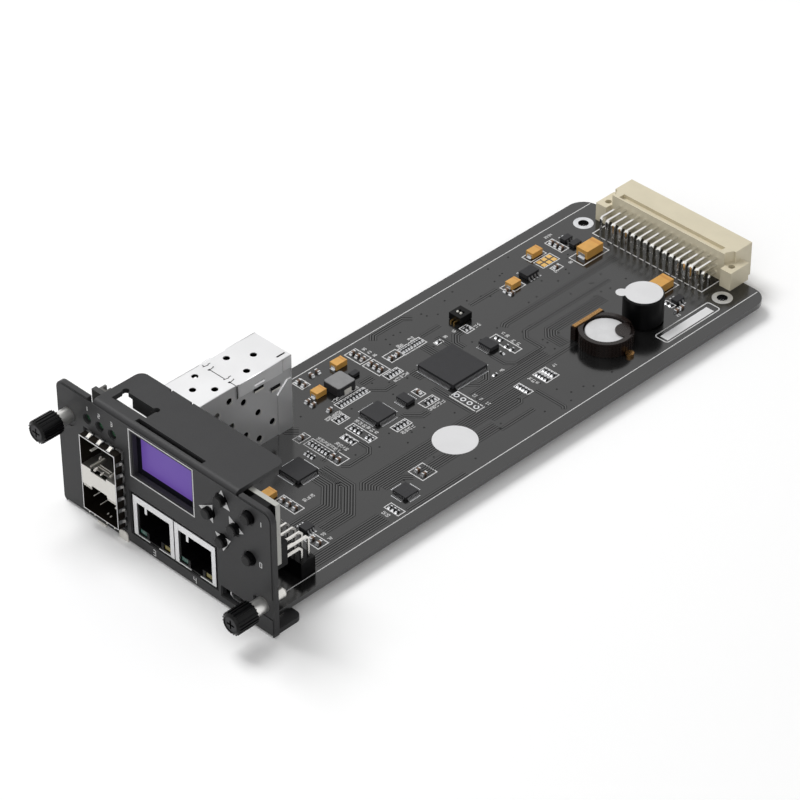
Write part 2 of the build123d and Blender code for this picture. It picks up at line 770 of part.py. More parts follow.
def display_box(inset):
    """The display's outline, drawn in (x, z)."""
    rim = DISPLAY_RIM - inset
    foot = window_zs()[0] - DISPLAY_RIM - rim
    head = PANEL_H - SHEET_T - HOLE_GAP - inset
    return rect(WINDOW_X - rim, WINDOW_X + WINDOW_W + rim, foot, head)


def display_module():
    """The display's frame on the keypad board, with a shelf for its glass."""
    y0 = SHEET_T + DISPLAY_SINK
    frame = along_y(display_box(0), y0, KEYPAD_Y)
    return frame - along_y(display_box(GLASS_RIM), y0 - 1, y0 + GLASS_T)


def display_glass():
    """The display's glass, flush with the front of its frame."""
    y0 = SHEET_T + DISPLAY_SINK
    return along_y(display_box(GLASS_RIM + SEAT_GAP), y0, y0 + GLASS_T)


def switch_bodies():
    """One square switch behind each button, bored for its stem and collar."""
    bodies = []
    across = SWITCH_W / 2
    upright = (key_pitch() - SWITCH_APART) / 2
    y0 = SHEET_T + SWITCH_GAP
    for x, z in key_places().values():
        body = block(x - across, x + across, y0, KEYPAD_Y, z - upright, z + upright)
        body -= bar(x, z, BUTTON_R + RUN_GAP, y0 - 1, y0 + 1)
        body -= bar(x, z, COLLAR_R + RUN_GAP, collar_y(), collar_y() + COLLAR_T + 2 * BUTTON_TRAVEL)
        bodies.append(body)
    return bodies


def collar_y():
    """Front of the collar that keeps a button in its switch."""
    return SHEET_T + SWITCH_GAP + 0.6


def button(x, z):
    """One key: a round stem with an eased rim and a hidden collar."""
    stem = bar(x, z, BUTTON_R, -BUTTON_OUT, collar_y() + SEAT_GAP)
    rim = stem.edges().filter_by(GeomType.CIRCLE).sort_by(Axis.Y)[0]
    stem = chamfer(rim, 0.3)
    return stem + bar(x, z, COLLAR_R, collar_y() + SEAT_GAP, collar_y() + COLLAR_T)


def panel_lamps():
    """Three round light guides behind the panel, seated on the keypad board."""
    lamps = []
    for x in LAMP_XS:
        lamps.append(bar(x, lamp_z(), PANEL_LAMP_R, SHEET_T / 2, KEYPAD_Y))
    return lamps


def corner_clip():
    """The pale plastic clip on the upper left corner of the keypad board."""
    y0 = KEYPAD_Y + KEYPAD_T
    x0 = KEYPAD_X0 + CLIP_INSET
    x1 = x0 + CLIP_W
    head = keypad_zs()[1]
    clip = block(x0, x1, y0, y0 + CLIP_D, head - CLIP_H, head)
    return clip - block(x0 + CLIP_WALL, x1 - CLIP_WALL, y0 + CLIP_WALL, y0 + CLIP_D + 1, head - CLIP_NOTCH, head + 1)


def header_xs():
    """Places of the header's pins across the card."""
    return [HEADER_X - index * PITCH for index in range(HEADER_PINS)]


def header_rows():
    """The two rows of header pins: where each goes down, and its height in the socket."""
    return [(HEADER_LEG_Y + row * PITCH, HEADER_Z - (1 - row) * PITCH) for row in range(2)]


def header_blocks():
    """The black socket behind the keypad board and the header body on the main board."""
    x0 = min(header_xs()) - PITCH / 2
    x1 = HEADER_X + PITCH / 2
    y0 = KEYPAD_Y + KEYPAD_T
    half = PIN_W / 2 + SEAT_GAP
    socket = block(x0, x1, y0, y0 + SOCKET_D, SOCKET_Z0, SOCKET_Z1)
    body = block(x0, x1, HEADER_LEG_Y - PITCH / 2, HEADER_LEG_Y + 1.5 * PITCH, BOARD_TOP, HEADER_TOP)
    for x in header_xs():
        for y, _ in header_rows():
            body -= block(x - half, x + half, y - half, y + half, BOARD_TOP - 1, HEADER_TOP + 1)
    return [socket, body]


def header_pins():
    """Two rows of bent pins from the keypad board's socket down into the header."""
    pins = []
    y0 = KEYPAD_Y + KEYPAD_T + SOCKET_D
    half = PIN_W / 2
    for y, z in header_rows():
        section = outline(
            (y0, z + half),
            (y - PIN_W, z + half),
            (y + half, z - PIN_W),
            (y + half, BOARD_TOP),
            (y - half, BOARD_TOP),
            (y - half, z - PIN_W - half),
            (y - PIN_W - half, z - half),
            (y0, z - half),
        )
        for x in header_xs():
            pins.append(along_x(section, x - half, x + half))
    return pins


def screw_ferrules():
    """The bright sleeves pressed into the panel, one round each thumbscrew."""
    sleeves = []
    for x, z in screw_places().values():
        sleeve = bar(x, z, FERRULE_R, -FERRULE_OUT, SHEET_T)
        sleeve += bar(x, z, FERRULE_FLANGE_R, SHEET_T, SHEET_T + FERRULE_FLANGE_T)
        sleeve -= bar(x, z, SCREW_R + RUN_GAP, -FERRULE_OUT - 1, SHEET_T + FERRULE_FLANGE_T + 1)
        sleeves.append(sleeve)
    return sleeves


def knob(x, z):
    """A fluted knob, hollow behind so that it slides over its ferrule."""
    rear = -FERRULE_OUT
    front = rear - KNOB_L
    section = Circle(KNOB_R)
    for index in range(KNOB_FLUTES):
        angle = 2 * math.pi * index / KNOB_FLUTES
        flute = Rot(0, 0, math.degrees(angle)) * (Pos(KNOB_R, 0) * Rectangle(2 * KNOB_FLUTE_R, 2 * KNOB_FLUTE_R))
        section -= flute
    body = along_y(Pos(x, z) * section, front + KNOB_BEVEL, rear)
    body += Pos(x, front + KNOB_BEVEL / 2, z) * Rot(90, 0, 0) * Cone(
        KNOB_R - KNOB_FLUTE_R, KNOB_R - KNOB_FLUTE_R - KNOB_BEVEL, KNOB_BEVEL
    )
    body -= bar(x, z, FERRULE_R + 2 * RUN_GAP, rear - SCREW_TRAVEL - 0.4, rear + 1)
    body -= bar(x, z, SCREW_NECK_R, front + 1.2, rear)
    body -= bar(x, z, KNOB_DISC_R, front - 1, front + 1.2)
    return body


def thread_y():
    """Where the screw's thread starts, just behind its retaining ring."""
    return SHEET_T + FERRULE_FLANGE_T + WASHER_T + 4 * SEAT_GAP


def screw(x, z):
    """The captive screw: a cross-recessed disc, a shank and a relieved neck behind the panel."""
    front = -FERRULE_OUT - KNOB_L
    body = bar(x, z, KNOB_DISC_R, front + 0.15, front + 1.2)
    body += bar(x, z, SCREW_NECK_R, front + 1.2, thread_y())
    body += bar(x, z, SCREW_R, thread_y(), SCREW_TIP - 0.6)
    body += Pos(x, SCREW_TIP - 0.3, z) * Rot(90, 0, 0) * Cone(SCREW_R - 0.5, SCREW_R, 0.6)
    for width, height in ((RECESS_L, RECESS_W), (RECESS_W, RECESS_L)):
        slot = Pos(x, z) * Rectangle(width, height)
        body -= along_y(slot, front - 1, front + 0.15 + RECESS_D)
    return body


def washer(x, z):
    """The retaining ring on the shank, which stops against the ferrule's rear."""
    y0 = SHEET_T + FERRULE_FLANGE_T + SEAT_GAP
    return bar(x, z, WASHER_R, y0, y0 + WASHER_T) - bar(x, z, SCREW_NECK_R + RUN_GAP / 2, y0 - 1, y0 + 2)


def pin_xs():
    """Places of the rear pins across the card."""
    return [PIN_X0 + index * PITCH for index in range(PIN_COUNT)]


def pin_leg_y(row):
    """Where a row of rear pins goes down through the board; row 0 is the highest."""
    return BODY_Y0 - PITCH * (ROW_COUNT - row) - PIN_W


def row_z(row):
    """Height of a row of rear pins in the connector."""
    return ROW_TOP - row * PITCH


def ear_hole_xs():
    """The two screw holes in the connector's ears."""
    return (EAR_X0 + EAR_HOLE_INSET, EAR_X1 - EAR_HOLE_INSET)


def rear_connector():
    """The beige connector: a shrouded body with bored ears, nut recesses and a top groove."""
    body = block(BODY_X0, BODY_X1, BODY_Y0, BODY_Y1, BODY_Z0, BODY_Z1)
    body -= block(BODY_X0 - 1, BODY_X1 + 1, BODY_Y0 - 1, BOARD_Y1 + HOLE_GAP, BODY_Z0 - 1, BOARD_TOP)
    ears = block(EAR_X0, EAR_X1, EAR_Y0, EAR_REAR, BOARD_TOP, EAR_TOP)
    ears -= block(BODY_X0 + 1.2, BODY_X1 - 1.2, EAR_Y0 - 1, BODY_Y0, BOARD_TOP - 1, EAR_TOP + 1)
    body += ears
    for x in ear_hole_xs():
        hexagon = Pos(x, EAR_HOLE_Y) * RegularPolygon(HEX_ACROSS / 2, 6, major_radius=False)
        body -= along_z(hexagon, EAR_TOP, BODY_Z1 + 1)
        body -= post(x, EAR_HOLE_Y, EAR_HOLE_R, BOARD_TOP - 1, EAR_TOP + 1)
    body -= block(
        BODY_X0 + GROOVE_INSET, BODY_X1 - GROOVE_INSET, GROOVE_Y, GROOVE_Y + GROOVE_W, BODY_Z1 - GROOVE_DEEP, BODY_Z1 + 1
    )
    mouth = rect(BODY_X0 + SHELL_WALL, BODY_X1 - SHELL_WALL, BODY_Z0 + SHELL_WALL, BODY_Z1 - SHELL_WALL)
    body -= along_y(mouth, BODY_Y1 - SHELL_DEPTH, BODY_Y1 + 1)
    for row in range(ROW_COUNT):
        for x in pin_xs():
            half = PIN_W / 2
            z = row_z(row)
            body -= block(x - half, x + half, BODY_Y0 - 1, BODY_Y1, z - half, z + half)
    return body


def rear_pins():
    """Bent square pins: a blade in the shroud, a run towards the front and a leg through the board."""
    pins = []
    half = PIN_W / 2
    tip = BODY_Y1 - 1.0
    low = BOARD_TOP - BOARD_T - PIN_TAIL
    for row in range(ROW_COUNT):
        y = pin_leg_y(row)
        z = row_z(row)
        section = outline(
            (tip, z + half),
            (y + half, z + half),
            (y - half, z - half),
            (y - half, low),
            (y + half, low),
            (y + half, z - PIN_W),
            (y + PIN_W, z - half),
            (tip, z - half),
        )
        for x in pin_xs():
            pins.append(along_x(section, x - half, x + half))
    return pins


def buzzer():
    """The round buzzer on its own low foot."""
    x, y = BUZZER
    body = post(x, y, BUZZER_R, BOARD_TOP + 0.6, BOARD_TOP + BUZZER_H)
    rim = body.edges().filter_by(GeomType.CIRCLE).sort_by(Axis.Z)[-1]
    return chamfer(rim, 0.35) + post(x, y, BUZZER_R - 0.5, BOARD_TOP, BOARD_TOP + 0.6)


def buzzer_label():
    """The round peel-off label on the buzzer, with its pull tab."""
    x, y = BUZZER
    label = Pos(x, y) * Circle(LABEL_R) + Pos(x - 4.6, y - 4.4) * Circle(1.8)
    return along_z(label, BOARD_TOP + BUZZER_H, BOARD_TOP + BUZZER_H + 0.1)


def cell_holder():
    """The coin cell's holder: a round cup with a straight contact block and an open rear corner."""
    x, y = CELL
    cup = Pos(x, y) * Circle(HOLDER_R) + rect(x - HOLDER_R, x - CELL_R, y - BLOCK_L / 2, y + BLOCK_L / 2)
    body = along_z(cup, BOARD_TOP, BOARD_TOP + HOLDER_H)
    body -= post(x, y, CELL_R + HOLE_GAP, BOARD_TOP + HOLDER_FLOOR, BOARD_TOP + HOLDER_H + 1)
    corner = Pos(x + 4.2, y + 4.2) * Circle(3.2)
    return body - along_z(corner, BOARD_TOP + HOLDER_H - 1.7, BOARD_TOP + HOLDER_H + 1)


def coin_cell():
    """The coin cell lying in its holder."""
    x, y = CELL
    z0 = BOARD_TOP + HOLDER_FLOOR + CONTACT_T
    cell = post(x, y, CELL_R, z0, z0 + CELL_T)
    rim = cell.edges().filter_by(GeomType.CIRCLE).sort_by(Axis.Z)[-1]
    return chamfer(rim, 0.3)


def cell_contacts():
    """The holder's contacts: a gilt bar on its block, a floor disc and two round solder tabs."""
    x, y = CELL
    top = BOARD_TOP + HOLDER_H
    bar_x = x - HOLDER_R + 0.2
    gilt = block(bar_x, bar_x + 1.3, y - BLOCK_L / 2 + 0.3, y + BLOCK_L / 2 - 0.3, top, top + 0.3)
    floor = post(x, y, 3.0, BOARD_TOP + HOLDER_FLOOR, BOARD_TOP + HOLDER_FLOOR + CONTACT_T)
    reach = HOLDER_R + TAB_R + SEAT_GAP
    tabs = [post(x + side * reach, y, TAB_R, BOARD_TOP, BOARD_TOP + 0.9) for side in (1, -1)]
    return [gilt, floor] + tabs


def chip(x, y, width, length, height):
    """A moulded chip body that stands a little off the board."""
    return standing(x, y, width, length, BOARD_TOP + 0.1, height - 0.1)


def gull_leads(x, y, width, count, pitch, sides):
    """Bent leads along the named sides of a square chip."""
    heel = LEAD_REACH - LEAD_FOOT
    section = outline(
        (0, 0), (LEAD_REACH, 0), (LEAD_REACH, LEAD_T), (heel, LEAD_T), (LEAD_T, LEAD_TOP), (0, LEAD_TOP)
    )
    leads = []
    for side in sides:
        for index in range(count):
            offset = (index - (count - 1) / 2) * pitch
            plane = Plane(origin=(width / 2, offset, BOARD_TOP), x_dir=(1, 0, 0), z_dir=(0, -1, 0))
            lead = extrude(plane * section, pitch * 0.24, both=True)
            leads.append(Pos(x, y, 0) * Rot(0, 0, 90 * side) * lead)
    return leads


# Smaller chips: x, y, width, length, height
SMALL_CHIPS = (
    (69.0, 62.8, 5.0, 5.0, 1.1),
    (41.8, 48.6, 7.6, 7.6, 1.3),
    (38.6, 127.2, 4.9, 3.4, 1.4),
    (22.3, 161.3, 3.4, 5.0, 1.5),
    (17.9, 182.2, 2.0, 3.4, 1.1),
    (21.6, 182.2, 2.0, 3.4, 1.1),
    (62.3, 182.0, 2.2, 3.4, 1.1),
    (61.0, 33.2, 2.8, 3.2, 1.1),
    (39.8, 92.2, 4.4, 3.0, 1.2),
    (21.0, 90.4, 1.7, 2.8, 1.1),
)

# Leads of the smaller chips: which chip, leads a side, pitch, sides
SMALL_LEADS = (
    (0, 8, 0.5, (0, 1, 2, 3)),
    (1, 12, 0.5, (0, 1, 2, 3)),
    (2, 7, 0.64, (1, 3)),
    (3, 4, 1.27, (0, 2)),
    (4, 2, 1.3, (0, 2)),
    (5, 2, 1.3, (0, 2)),
    (6, 2, 1.3, (0, 2)),
    (7, 3, 0.95, (0, 2)),
    (8, 6, 0.62, (1, 3)),
)

# Tantalum capacitors: x, y, width, length, height
TANTALUMS = (
    (27.4, 182.2, 4.3, 7.0, 2.9),
    (54.4, 183.2, 4.3, 7.0, 2.6),
    (16.4, 169.9, 2.8, 4.2, 1.9),
    (23.0, 153.8, 2.8, 3.8, 1.9),
    (14.7, 90.4, 2.8, 4.2, 1.9),
    (20.4, 76.9, 2.8, 3.8, 1.9),
    (43.9, 35.6, 3.0, 3.2, 1.9),
)

# Runs of small ceramic capacitors: first x, first y, step x, step y, count, lying along x
CERAMICS = (
    (22.9, 106.0, 0.0, -2.7, 2, False),
    (20.6, 97.4, 2.1, 0.0, 3, False),
    (13.4, 97.4, 2.1, 0.0, 3, False),
    (28.0, 74.0, 0.0, 0.0, 1, False),
    (31.4, 59.8, 0.0, 0.0, 1, False),
    (43.6, 60.0, 2.2, 0.0, 2, False),
    (64.6, 72.0, 2.5, 0.0, 2, False),
    (65.3, 31.2, 2.6, 0.0, 2, False),
    (47.7, 37.0, 2.5, 0.0, 3, False),
    (20.8, 72.4, 2.2, 0.0, 2, False),
    (39.7, 97.4, 0.0, 0.0, 1, True),
    (16.0, 178.0, 2.0, 0.0, 3, False),
    (25.6, 169.6, 0.0, 0.0, 1, False),
    (65.6, 180.0, 0.0, -2.2, 2, False),
    (23.4, 150.6, 2.2, 0.0, 2, False),
    (12.2, 77.0, 2.4, 0.0, 2, False),
    (12.6, 84.0, 0.0, -2.4, 2, True),
)

# Runs of chip resistors, in the same form
RESISTORS = (
    (57.9, 130.0, 1.1, 0.0, 4, False),
    (57.9, 127.2, 1.1, 0.0, 4, False),
    (57.9, 119.4, 1.1, 0.0, 4, False),
    (22.8, 115.4, 0.0, -1.0, 4, True),
    (22.8, 111.0, 0.0, -1.0, 4, True),
    (28.3, 100.6, 0.0, -1.2, 4, True),
    (44.7, 98.4, 0.0, -1.4, 3, True),
    (28.3, 87.3, 0.0, -1.2, 9, True),
    (46.9, 85.2, 0.0, -1.3, 4, True),
    (38.2, 73.0, 1.5, 0.0, 3, False),
    (44.2, 73.0, 1.5, 0.0, 2, False),
    (39.6, 68.6, 1.5, 0.0, 3, False),
    (32.8, 74.8, 0.0, -1.3, 3, True),
    (34.9, 60.0, 1.3, 0.0, 6, False),
    (70.6, 55.4, 1.35, 0.0, 3, False),
    (37.4, 132.0, 1.6, 0.0, 2, False),
    (42.3, 130.8, 2.1, 0.0, 2, False),
    (26.9, 118.6, 0.0, 0.0, 1, False),
    (49.4, 118.6, 0.0, 0.0, 1, False),
    (28.2, 129.6, 0.0, -1.4, 2, True),
    (43.6, 127.4, 0.0, 0.0, 1, True),
    (60.8, 179.0, 1.6, 0.0, 2, False),
    (37.4, 56.0, 1.3, 0.0, 3, False),
)


def chip_row(runs, width, length, height):
    """Small chip parts laid out in runs."""
    parts = []
    for x, y, step_x, step_y, count, flat in runs:
        for index in range(count):
            across = (length, width) if flat else (width, length)
            spot = (x + index * step_x, y + index * step_y)
            parts.append(standing(spot[0], spot[1], across[0], across[1], BOARD_TOP, height))
    return parts


def power_inductor():
    """The shielded coil: a square frame with an octagonal top."""
    x, y = INDUCTOR
    base = standing(x, y, 6.6, 6.6, BOARD_TOP, 1.0)
    top = along_z(Pos(x, y) * RegularPolygon(3.3, 8, major_radius=False), BOARD_TOP + 1.0, BOARD_TOP + 2.8)
    return base + top


def dip_switch():
    """The two-way setting switch, slotted for its levers."""
    x, y = DIP
    body = standing(x, y, DIP_W, DIP_L, BOARD_TOP + 0.2, DIP_H - 0.2)
    length = LEVER_W + LEVER_TRAVEL + 2 * RUN_GAP
    for side in (-0.5, 0.5):
        half = LEVER_W / 2 + RUN_GAP
        middle = x + side * LEVER_PITCH
        y0 = y - LEVER_TRAVEL / 2 - LEVER_W / 2 - RUN_GAP
        body -= block(middle - half, middle + half, y0, y0 + length, BOARD_TOP + 1.2, BOARD_TOP + DIP_H + 1)
    return body


def dip_pins():
    """The setting switch's four gilt feet."""
    x, y = DIP
    feet = []
    for side in (-0.5, 0.5):
        for end in (-1, 1):
            feet.append(standing(x + side * LEVER_PITCH, y + end * (DIP_L / 2 + 0.5), 0.5, 1.0, BOARD_TOP, 0.7))
    return feet


def dip_lever(side):
    """One white lever in its slot, at the front end of its travel."""
    x, y = DIP
    middle = x + side * LEVER_PITCH
    return standing(middle, y - LEVER_TRAVEL / 2, LEVER_W, LEVER_W, BOARD_TOP + 1.22, 1.45)


def inspection_sticker():
    """The round blank paper sticker."""
    return along_z(Pos(*STICKER) * Circle(STICKER_R), BOARD_TOP, BOARD_TOP + 0.1)


def all_nodes():
    """Every node of the card by name."""
    nodes = {
        "front_panel": front_panel(),
        "panel_overlay": panel_overlay(),
        "main_board": main_board(),
        "board_spacers": board_spacers(),
        "cage_body": cage_body(),
        "cage_cover": cage_cover(),
        "cage_middle": cage_middle(),
        "module_connector": module_connector(),
        "spring_fingers": spring_fingers(),
        "network_wires": jack_wires(),
        "link_lamps": jack_lamps(0),
        "traffic_lamps": jack_lamps(1),
        "console_shell": console_shell(),
        "console_tongue": console_tongue(),
        "keypad_board": keypad_board(),
        "corner_clip": corner_clip(),
        "display_module": display_module(),
        "display_glass": display_glass(),
        "switch_bodies": switch_bodies(),
        "panel_lamps": panel_lamps(),
        "header_blocks": header_blocks(),
        "header_pins": header_pins(),
        "screw_ferrules": screw_ferrules(),
        "rear_connector": rear_connector(),
        "rear_pins": rear_pins(),
        "buzzer": buzzer(),
        "buzzer_label": buzzer_label(),
        "cell_holder": cell_holder(),
        "coin_cell": coin_cell(),
        "cell_contacts": cell_contacts(),
        "power_inductor": power_inductor(),
        "dip_switch": dip_switch(),
        "dip_pins": dip_pins(),
        "inspection_sticker": inspection_sticker(),
    }
    for index in range(2):
        nodes[f"network_shield_{index + 1}"] = jack_shield(index)
        nodes[f"network_insert_{index + 1}"] = jack_insert(index)
        nodes[f"dip_lever_{index + 1}"] = dip_lever(index - 0.5)
    for name, (x, z) in key_places().items():
        nodes[f"button_{name}"] = button(x, z)
    for side, (x, z) in screw_places().items():
        nodes[f"{side}_knob"] = knob(x, z)
        nodes[f"{side}_screw"] = screw(x, z)
        nodes[f"{side}_washer"] = washer(x, z)
    x, y = PROCESSOR
    nodes["processor"] = chip(x, y, PROCESSOR_W, PROCESSOR_W, PROCESSOR_H)
    nodes["processor_leads"] = gull_leads(x, y, PROCESSOR_W, PROCESSOR_LEAD_COUNT, LEAD_PITCH, (0, 1, 2, 3))
    x, y = CONTROLLER
    nodes["controller"] = chip(x, y, CONTROLLER_W, CONTROLLER_W, CONTROLLER_H)
    leads = gull_leads(x, y, CONTROLLER_W, CONTROLLER_LEAD_COUNT, LEAD_PITCH, (0, 1, 2, 3))
    nodes["small_chips"] = [chip(*row) for row in SMALL_CHIPS]
    for number, count, pitch, sides in SMALL_LEADS:
        x, y, width, length, height = SMALL_CHIPS[number]
        for side in sides:
            span = width if side % 2 == 0 else length
            leads += gull_leads(x, y, span, count, pitch, (side,))
    nodes["small_chip_leads"] = leads
    nodes["tantalum_capacitors"] = [chip(*row) for row in TANTALUMS]
    nodes["ceramic_capacitors"] = chip_row(CERAMICS, 0.85, 1.6, 0.8)
    nodes["chip_resistors"] = chip_row(RESISTORS, 0.6, 1.3, 0.4)
    return nodes


def write_nodes():
    """Centre the card over the floor and write one file for each node."""
    os.makedirs("parts", exist_ok=True)
    front = -FERRULE_OUT - KNOB_L
    centre = Pos(-PANEL_W / 2, -(front + BODY_Y1) / 2, 0)
    for name, shape in all_nodes().items():
        solids = shape if isinstance(shape, list) else [shape]
        moved = []
        for solid in solids:
            moved += (centre * solid).solids()
        body = moved[0] if len(moved) == 1 else Compound(children=moved)
        export_step(body, f"parts/{name}.step")


write_nodes()
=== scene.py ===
# %% [markdown]
# # Dressing a network management card
# The card comes from a CAD model: a bent front panel with two stacked module bays, two network
# jacks, a display and a keypad, on a long black circuit board. The CAD model fixes every size.
# This lesson adds what CAD leaves out: finishes, printing, copper tracks, solder and small folds.
# The scene is in metres, in the same frame as the CAD model. Places are written in millimetres, as
# on a drawing of the card.

# %% Load the card
import math

import bpy
import numpy as np
from mathutils import Matrix, Vector


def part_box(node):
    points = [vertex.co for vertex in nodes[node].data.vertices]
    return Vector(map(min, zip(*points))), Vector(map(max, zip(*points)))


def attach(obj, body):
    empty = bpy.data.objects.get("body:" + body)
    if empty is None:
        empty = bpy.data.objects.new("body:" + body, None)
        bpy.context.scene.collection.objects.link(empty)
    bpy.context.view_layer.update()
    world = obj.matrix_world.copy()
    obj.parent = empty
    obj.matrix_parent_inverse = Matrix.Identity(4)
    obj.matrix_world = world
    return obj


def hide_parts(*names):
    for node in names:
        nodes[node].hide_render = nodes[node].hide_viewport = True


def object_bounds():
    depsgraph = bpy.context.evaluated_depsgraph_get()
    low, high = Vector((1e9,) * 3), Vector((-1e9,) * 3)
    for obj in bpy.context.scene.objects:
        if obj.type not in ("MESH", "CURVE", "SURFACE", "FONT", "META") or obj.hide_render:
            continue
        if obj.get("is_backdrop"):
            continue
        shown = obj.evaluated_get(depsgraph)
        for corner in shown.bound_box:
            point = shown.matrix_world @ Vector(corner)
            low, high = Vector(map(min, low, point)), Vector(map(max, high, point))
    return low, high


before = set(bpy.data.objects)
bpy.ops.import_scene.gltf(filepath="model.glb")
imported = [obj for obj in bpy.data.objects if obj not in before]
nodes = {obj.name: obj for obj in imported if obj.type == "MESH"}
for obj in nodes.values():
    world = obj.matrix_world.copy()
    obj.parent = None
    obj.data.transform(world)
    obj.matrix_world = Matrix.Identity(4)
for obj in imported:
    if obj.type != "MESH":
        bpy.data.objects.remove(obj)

cad_low, cad_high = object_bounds()
print("nodes:", len(nodes), "size:", [round(v * 1000, 1) for v in cad_high - cad_low])

# %% [markdown]
# Drawings of the card measure from the lower left corner of the panel's face: x to the right,
# y to the rear and z up, in millimetres. The panel's CAD box gives that corner, so a place can
# be written as on the drawing and turned into metres once, here.

# %% Drawing places to metres
MM = 0.001
corner = np.array(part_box("front_panel")[0])


def place(points):
    """Metres of drawing points: the corner plus each point times a thousandth."""
    return corner + np.asarray(points, float) * MM


def drawn(metres):
    """Drawing millimetres of points in metres: the reverse of place."""
    return (np.asarray(metres, float) - corner) / MM


def node_box(name):
    """Low and high drawing corners of the box round a CAD node."""
    return [drawn(end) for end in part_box(name)]


board_low, board_high = node_box("main_board")
BOARD_TOP = float(board_high[2])
BOARD_LOW = float(board_low[2])
print("board from", round(BOARD_LOW, 2), "to", round(BOARD_TOP, 2))

# %% [markdown]
# The camera stands to the right of the card's front corner and above it, with a long lens, so
# that the board's edges stay almost parallel. A camera could be aimed by eye, but here its place
# is worked out from the angles and from one point that has to fall on a known pixel of an 800
# pixel square.

# %% Camera
AZIMUTH = math.radians(45.384)
ELEVATION = math.radians(37.162)
ROLL = math.radians(-0.453)
FOCAL_PX = 3578.08
CENTRE_PX = (382.24, 400.15)
AIM_PX = (400.51, 389.91)
AIM = (40.0, 90.0, 10.0)
DISTANCE = 1000.26
FRAME_PX = 800

forward = Vector((
    -math.sin(AZIMUTH) * math.cos(ELEVATION),
    math.cos(AZIMUTH) * math.cos(ELEVATION),
    -math.sin(ELEVATION),
))
level = Vector((math.cos(AZIMUTH), math.sin(AZIMUTH), 0))
upward = level.cross(forward)
right = math.cos(ROLL) * level + math.sin(ROLL) * upward
up = math.cos(ROLL) * upward - math.sin(ROLL) * level
aside = (AIM_PX[0] - CENTRE_PX[0]) / FOCAL_PX * DISTANCE
below = (AIM_PX[1] - CENTRE_PX[1]) / FOCAL_PX * DISTANCE
eye = Vector(place(AIM)) + (up * below - right * aside - forward * DISTANCE) * MM

camera_data = bpy.data.cameras.new("camera")
camera_data.sensor_width = 36
camera_data.lens = camera_data.sensor_width * FOCAL_PX / FRAME_PX
camera_data.shift_x = (FRAME_PX / 2 - CENTRE_PX[0]) / FRAME_PX
camera_data.shift_y = (CENTRE_PX[1] - FRAME_PX / 2) / FRAME_PX
camera_data.clip_start = 0.05
camera_data.clip_end = 20
camera = bpy.data.objects.new("camera", camera_data)
bpy.context.scene.collection.objects.link(camera)
turn = Matrix((right, up, -forward)).transposed()
camera.matrix_world = Matrix.Translation(eye) @ turn.to_4x4()
bpy.context.scene.camera = camera
print("lens", round(camera_data.lens, 1), "eye", [round(v, 3) for v in eye])

# %% [markdown]
# New pieces are grids of points worked out with numpy. One helper puts an array of points and
# an array of faces into a mesh, names it, gives it a finish and makes it ride on a CAD body.

# %% From arrays to a piece
made = []


def piece(name, points, faces, finish, slot, body="card", smooth=False):
    """A mesh from drawing points (n, 3) and faces (m, 3 or 4), riding on a body."""
    mesh = bpy.data.meshes.new(name)
    mesh.from_pydata(place(points).tolist(), [], np.asarray(faces).tolist())
    mesh.polygons.foreach_set("use_smooth", [smooth] * len(mesh.polygons))
    mesh.materials.append(finish)
    mesh.update()
    thing = bpy.data.objects.new(name, mesh)
    bpy.context.scene.collection.objects.link(thing)
    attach(thing, body)
    made.append(name)
    return thing


def joined(parts):
    """One array of points and one of faces from many: each part's faces are shifted past the last."""
    starts = np.cumsum([0] + [len(points) for points, _ in parts[:-1]])
    points = np.concatenate([points for points, _ in parts])
    faces = np.concatenate([faces + start for (_, faces), start in zip(parts, starts)])
    return points, faces


# %% [markdown]
# Tracks and printed lines are flat strips. Each is a small rectangle carried along a path: at a
# corner both edges meet on the mitre, so the strip keeps its width. Tracks are raised a few
# hundredths of a millimetre, which is enough for the light to catch their edges.

# %% Strips along a path
SUNK = 0.01        # how far an added piece reaches into what carries it
BLUNTEST = 0.3     # the least share, which keeps a sharp corner's mitre short


def mitres(path):
    """Side offset of each path point for a strip that reaches 1 to each side: the sum of both run
    normals over one plus their dot product, which is kept from falling under a least share."""
    runs = np.diff(path, axis=0)
    runs /= np.linalg.norm(runs, axis=1, keepdims=True)
    normals = np.stack([-runs[:, 1], runs[:, 0]], axis=1)
    before = np.vstack([normals[:1], normals])
    after = np.vstack([normals, normals[-1:]])
    share = 1 + (before * after).sum(axis=1, keepdims=True)
    return (before + after) / np.maximum(share, BLUNTEST)


def strip(path, width, low, high):
    """A closed strip: a ring of four points round each path point, half the width to either side."""
    path = np.asarray(path, float)
    side = mitres(path) * width / 2
    left, right = path + side, path - side
    rings = np.stack([
        np.column_stack([flat, np.full(len(path), height)])
        for flat, height in ((right, low), (right, high), (left, high), (left, low))
    ], axis=1)
    points = rings.reshape(-1, 3)
    start = 4 * np.arange(len(path) - 1)[:, None]
    quad = np.array([[0, 4, 5, 1], [1, 5, 6, 2], [2, 6, 7, 3], [3, 7, 4, 0]])
    faces = (start[:, :, None] + quad[None]).reshape(-1, 4)
    ends = np.array([[0, 1, 2, 3], 4 * (len(path) - 1) + np.array([3, 2, 1, 0])])
    return points, np.vstack([faces, ends])


def on_board(path, width, height):
    """A strip that lies on the board, sunk a little into it, and stands up by its height."""
    return strip(path, width, BOARD_TOP - SUNK, BOARD_TOP + height)


def bundle(path, count, pitch):
    """Parallel paths: path number k is the first one moved sideways by k pitches on the mitre."""
    path = np.asarray(path, float)
    side = mitres(path)
    return [path - side * pitch * k for k in range(count)]


# %% [markdown]
# Vias, pads, ringed holes and solder cones are all turned shapes: a short profile of radius and
# height, carried once round an upright axis.

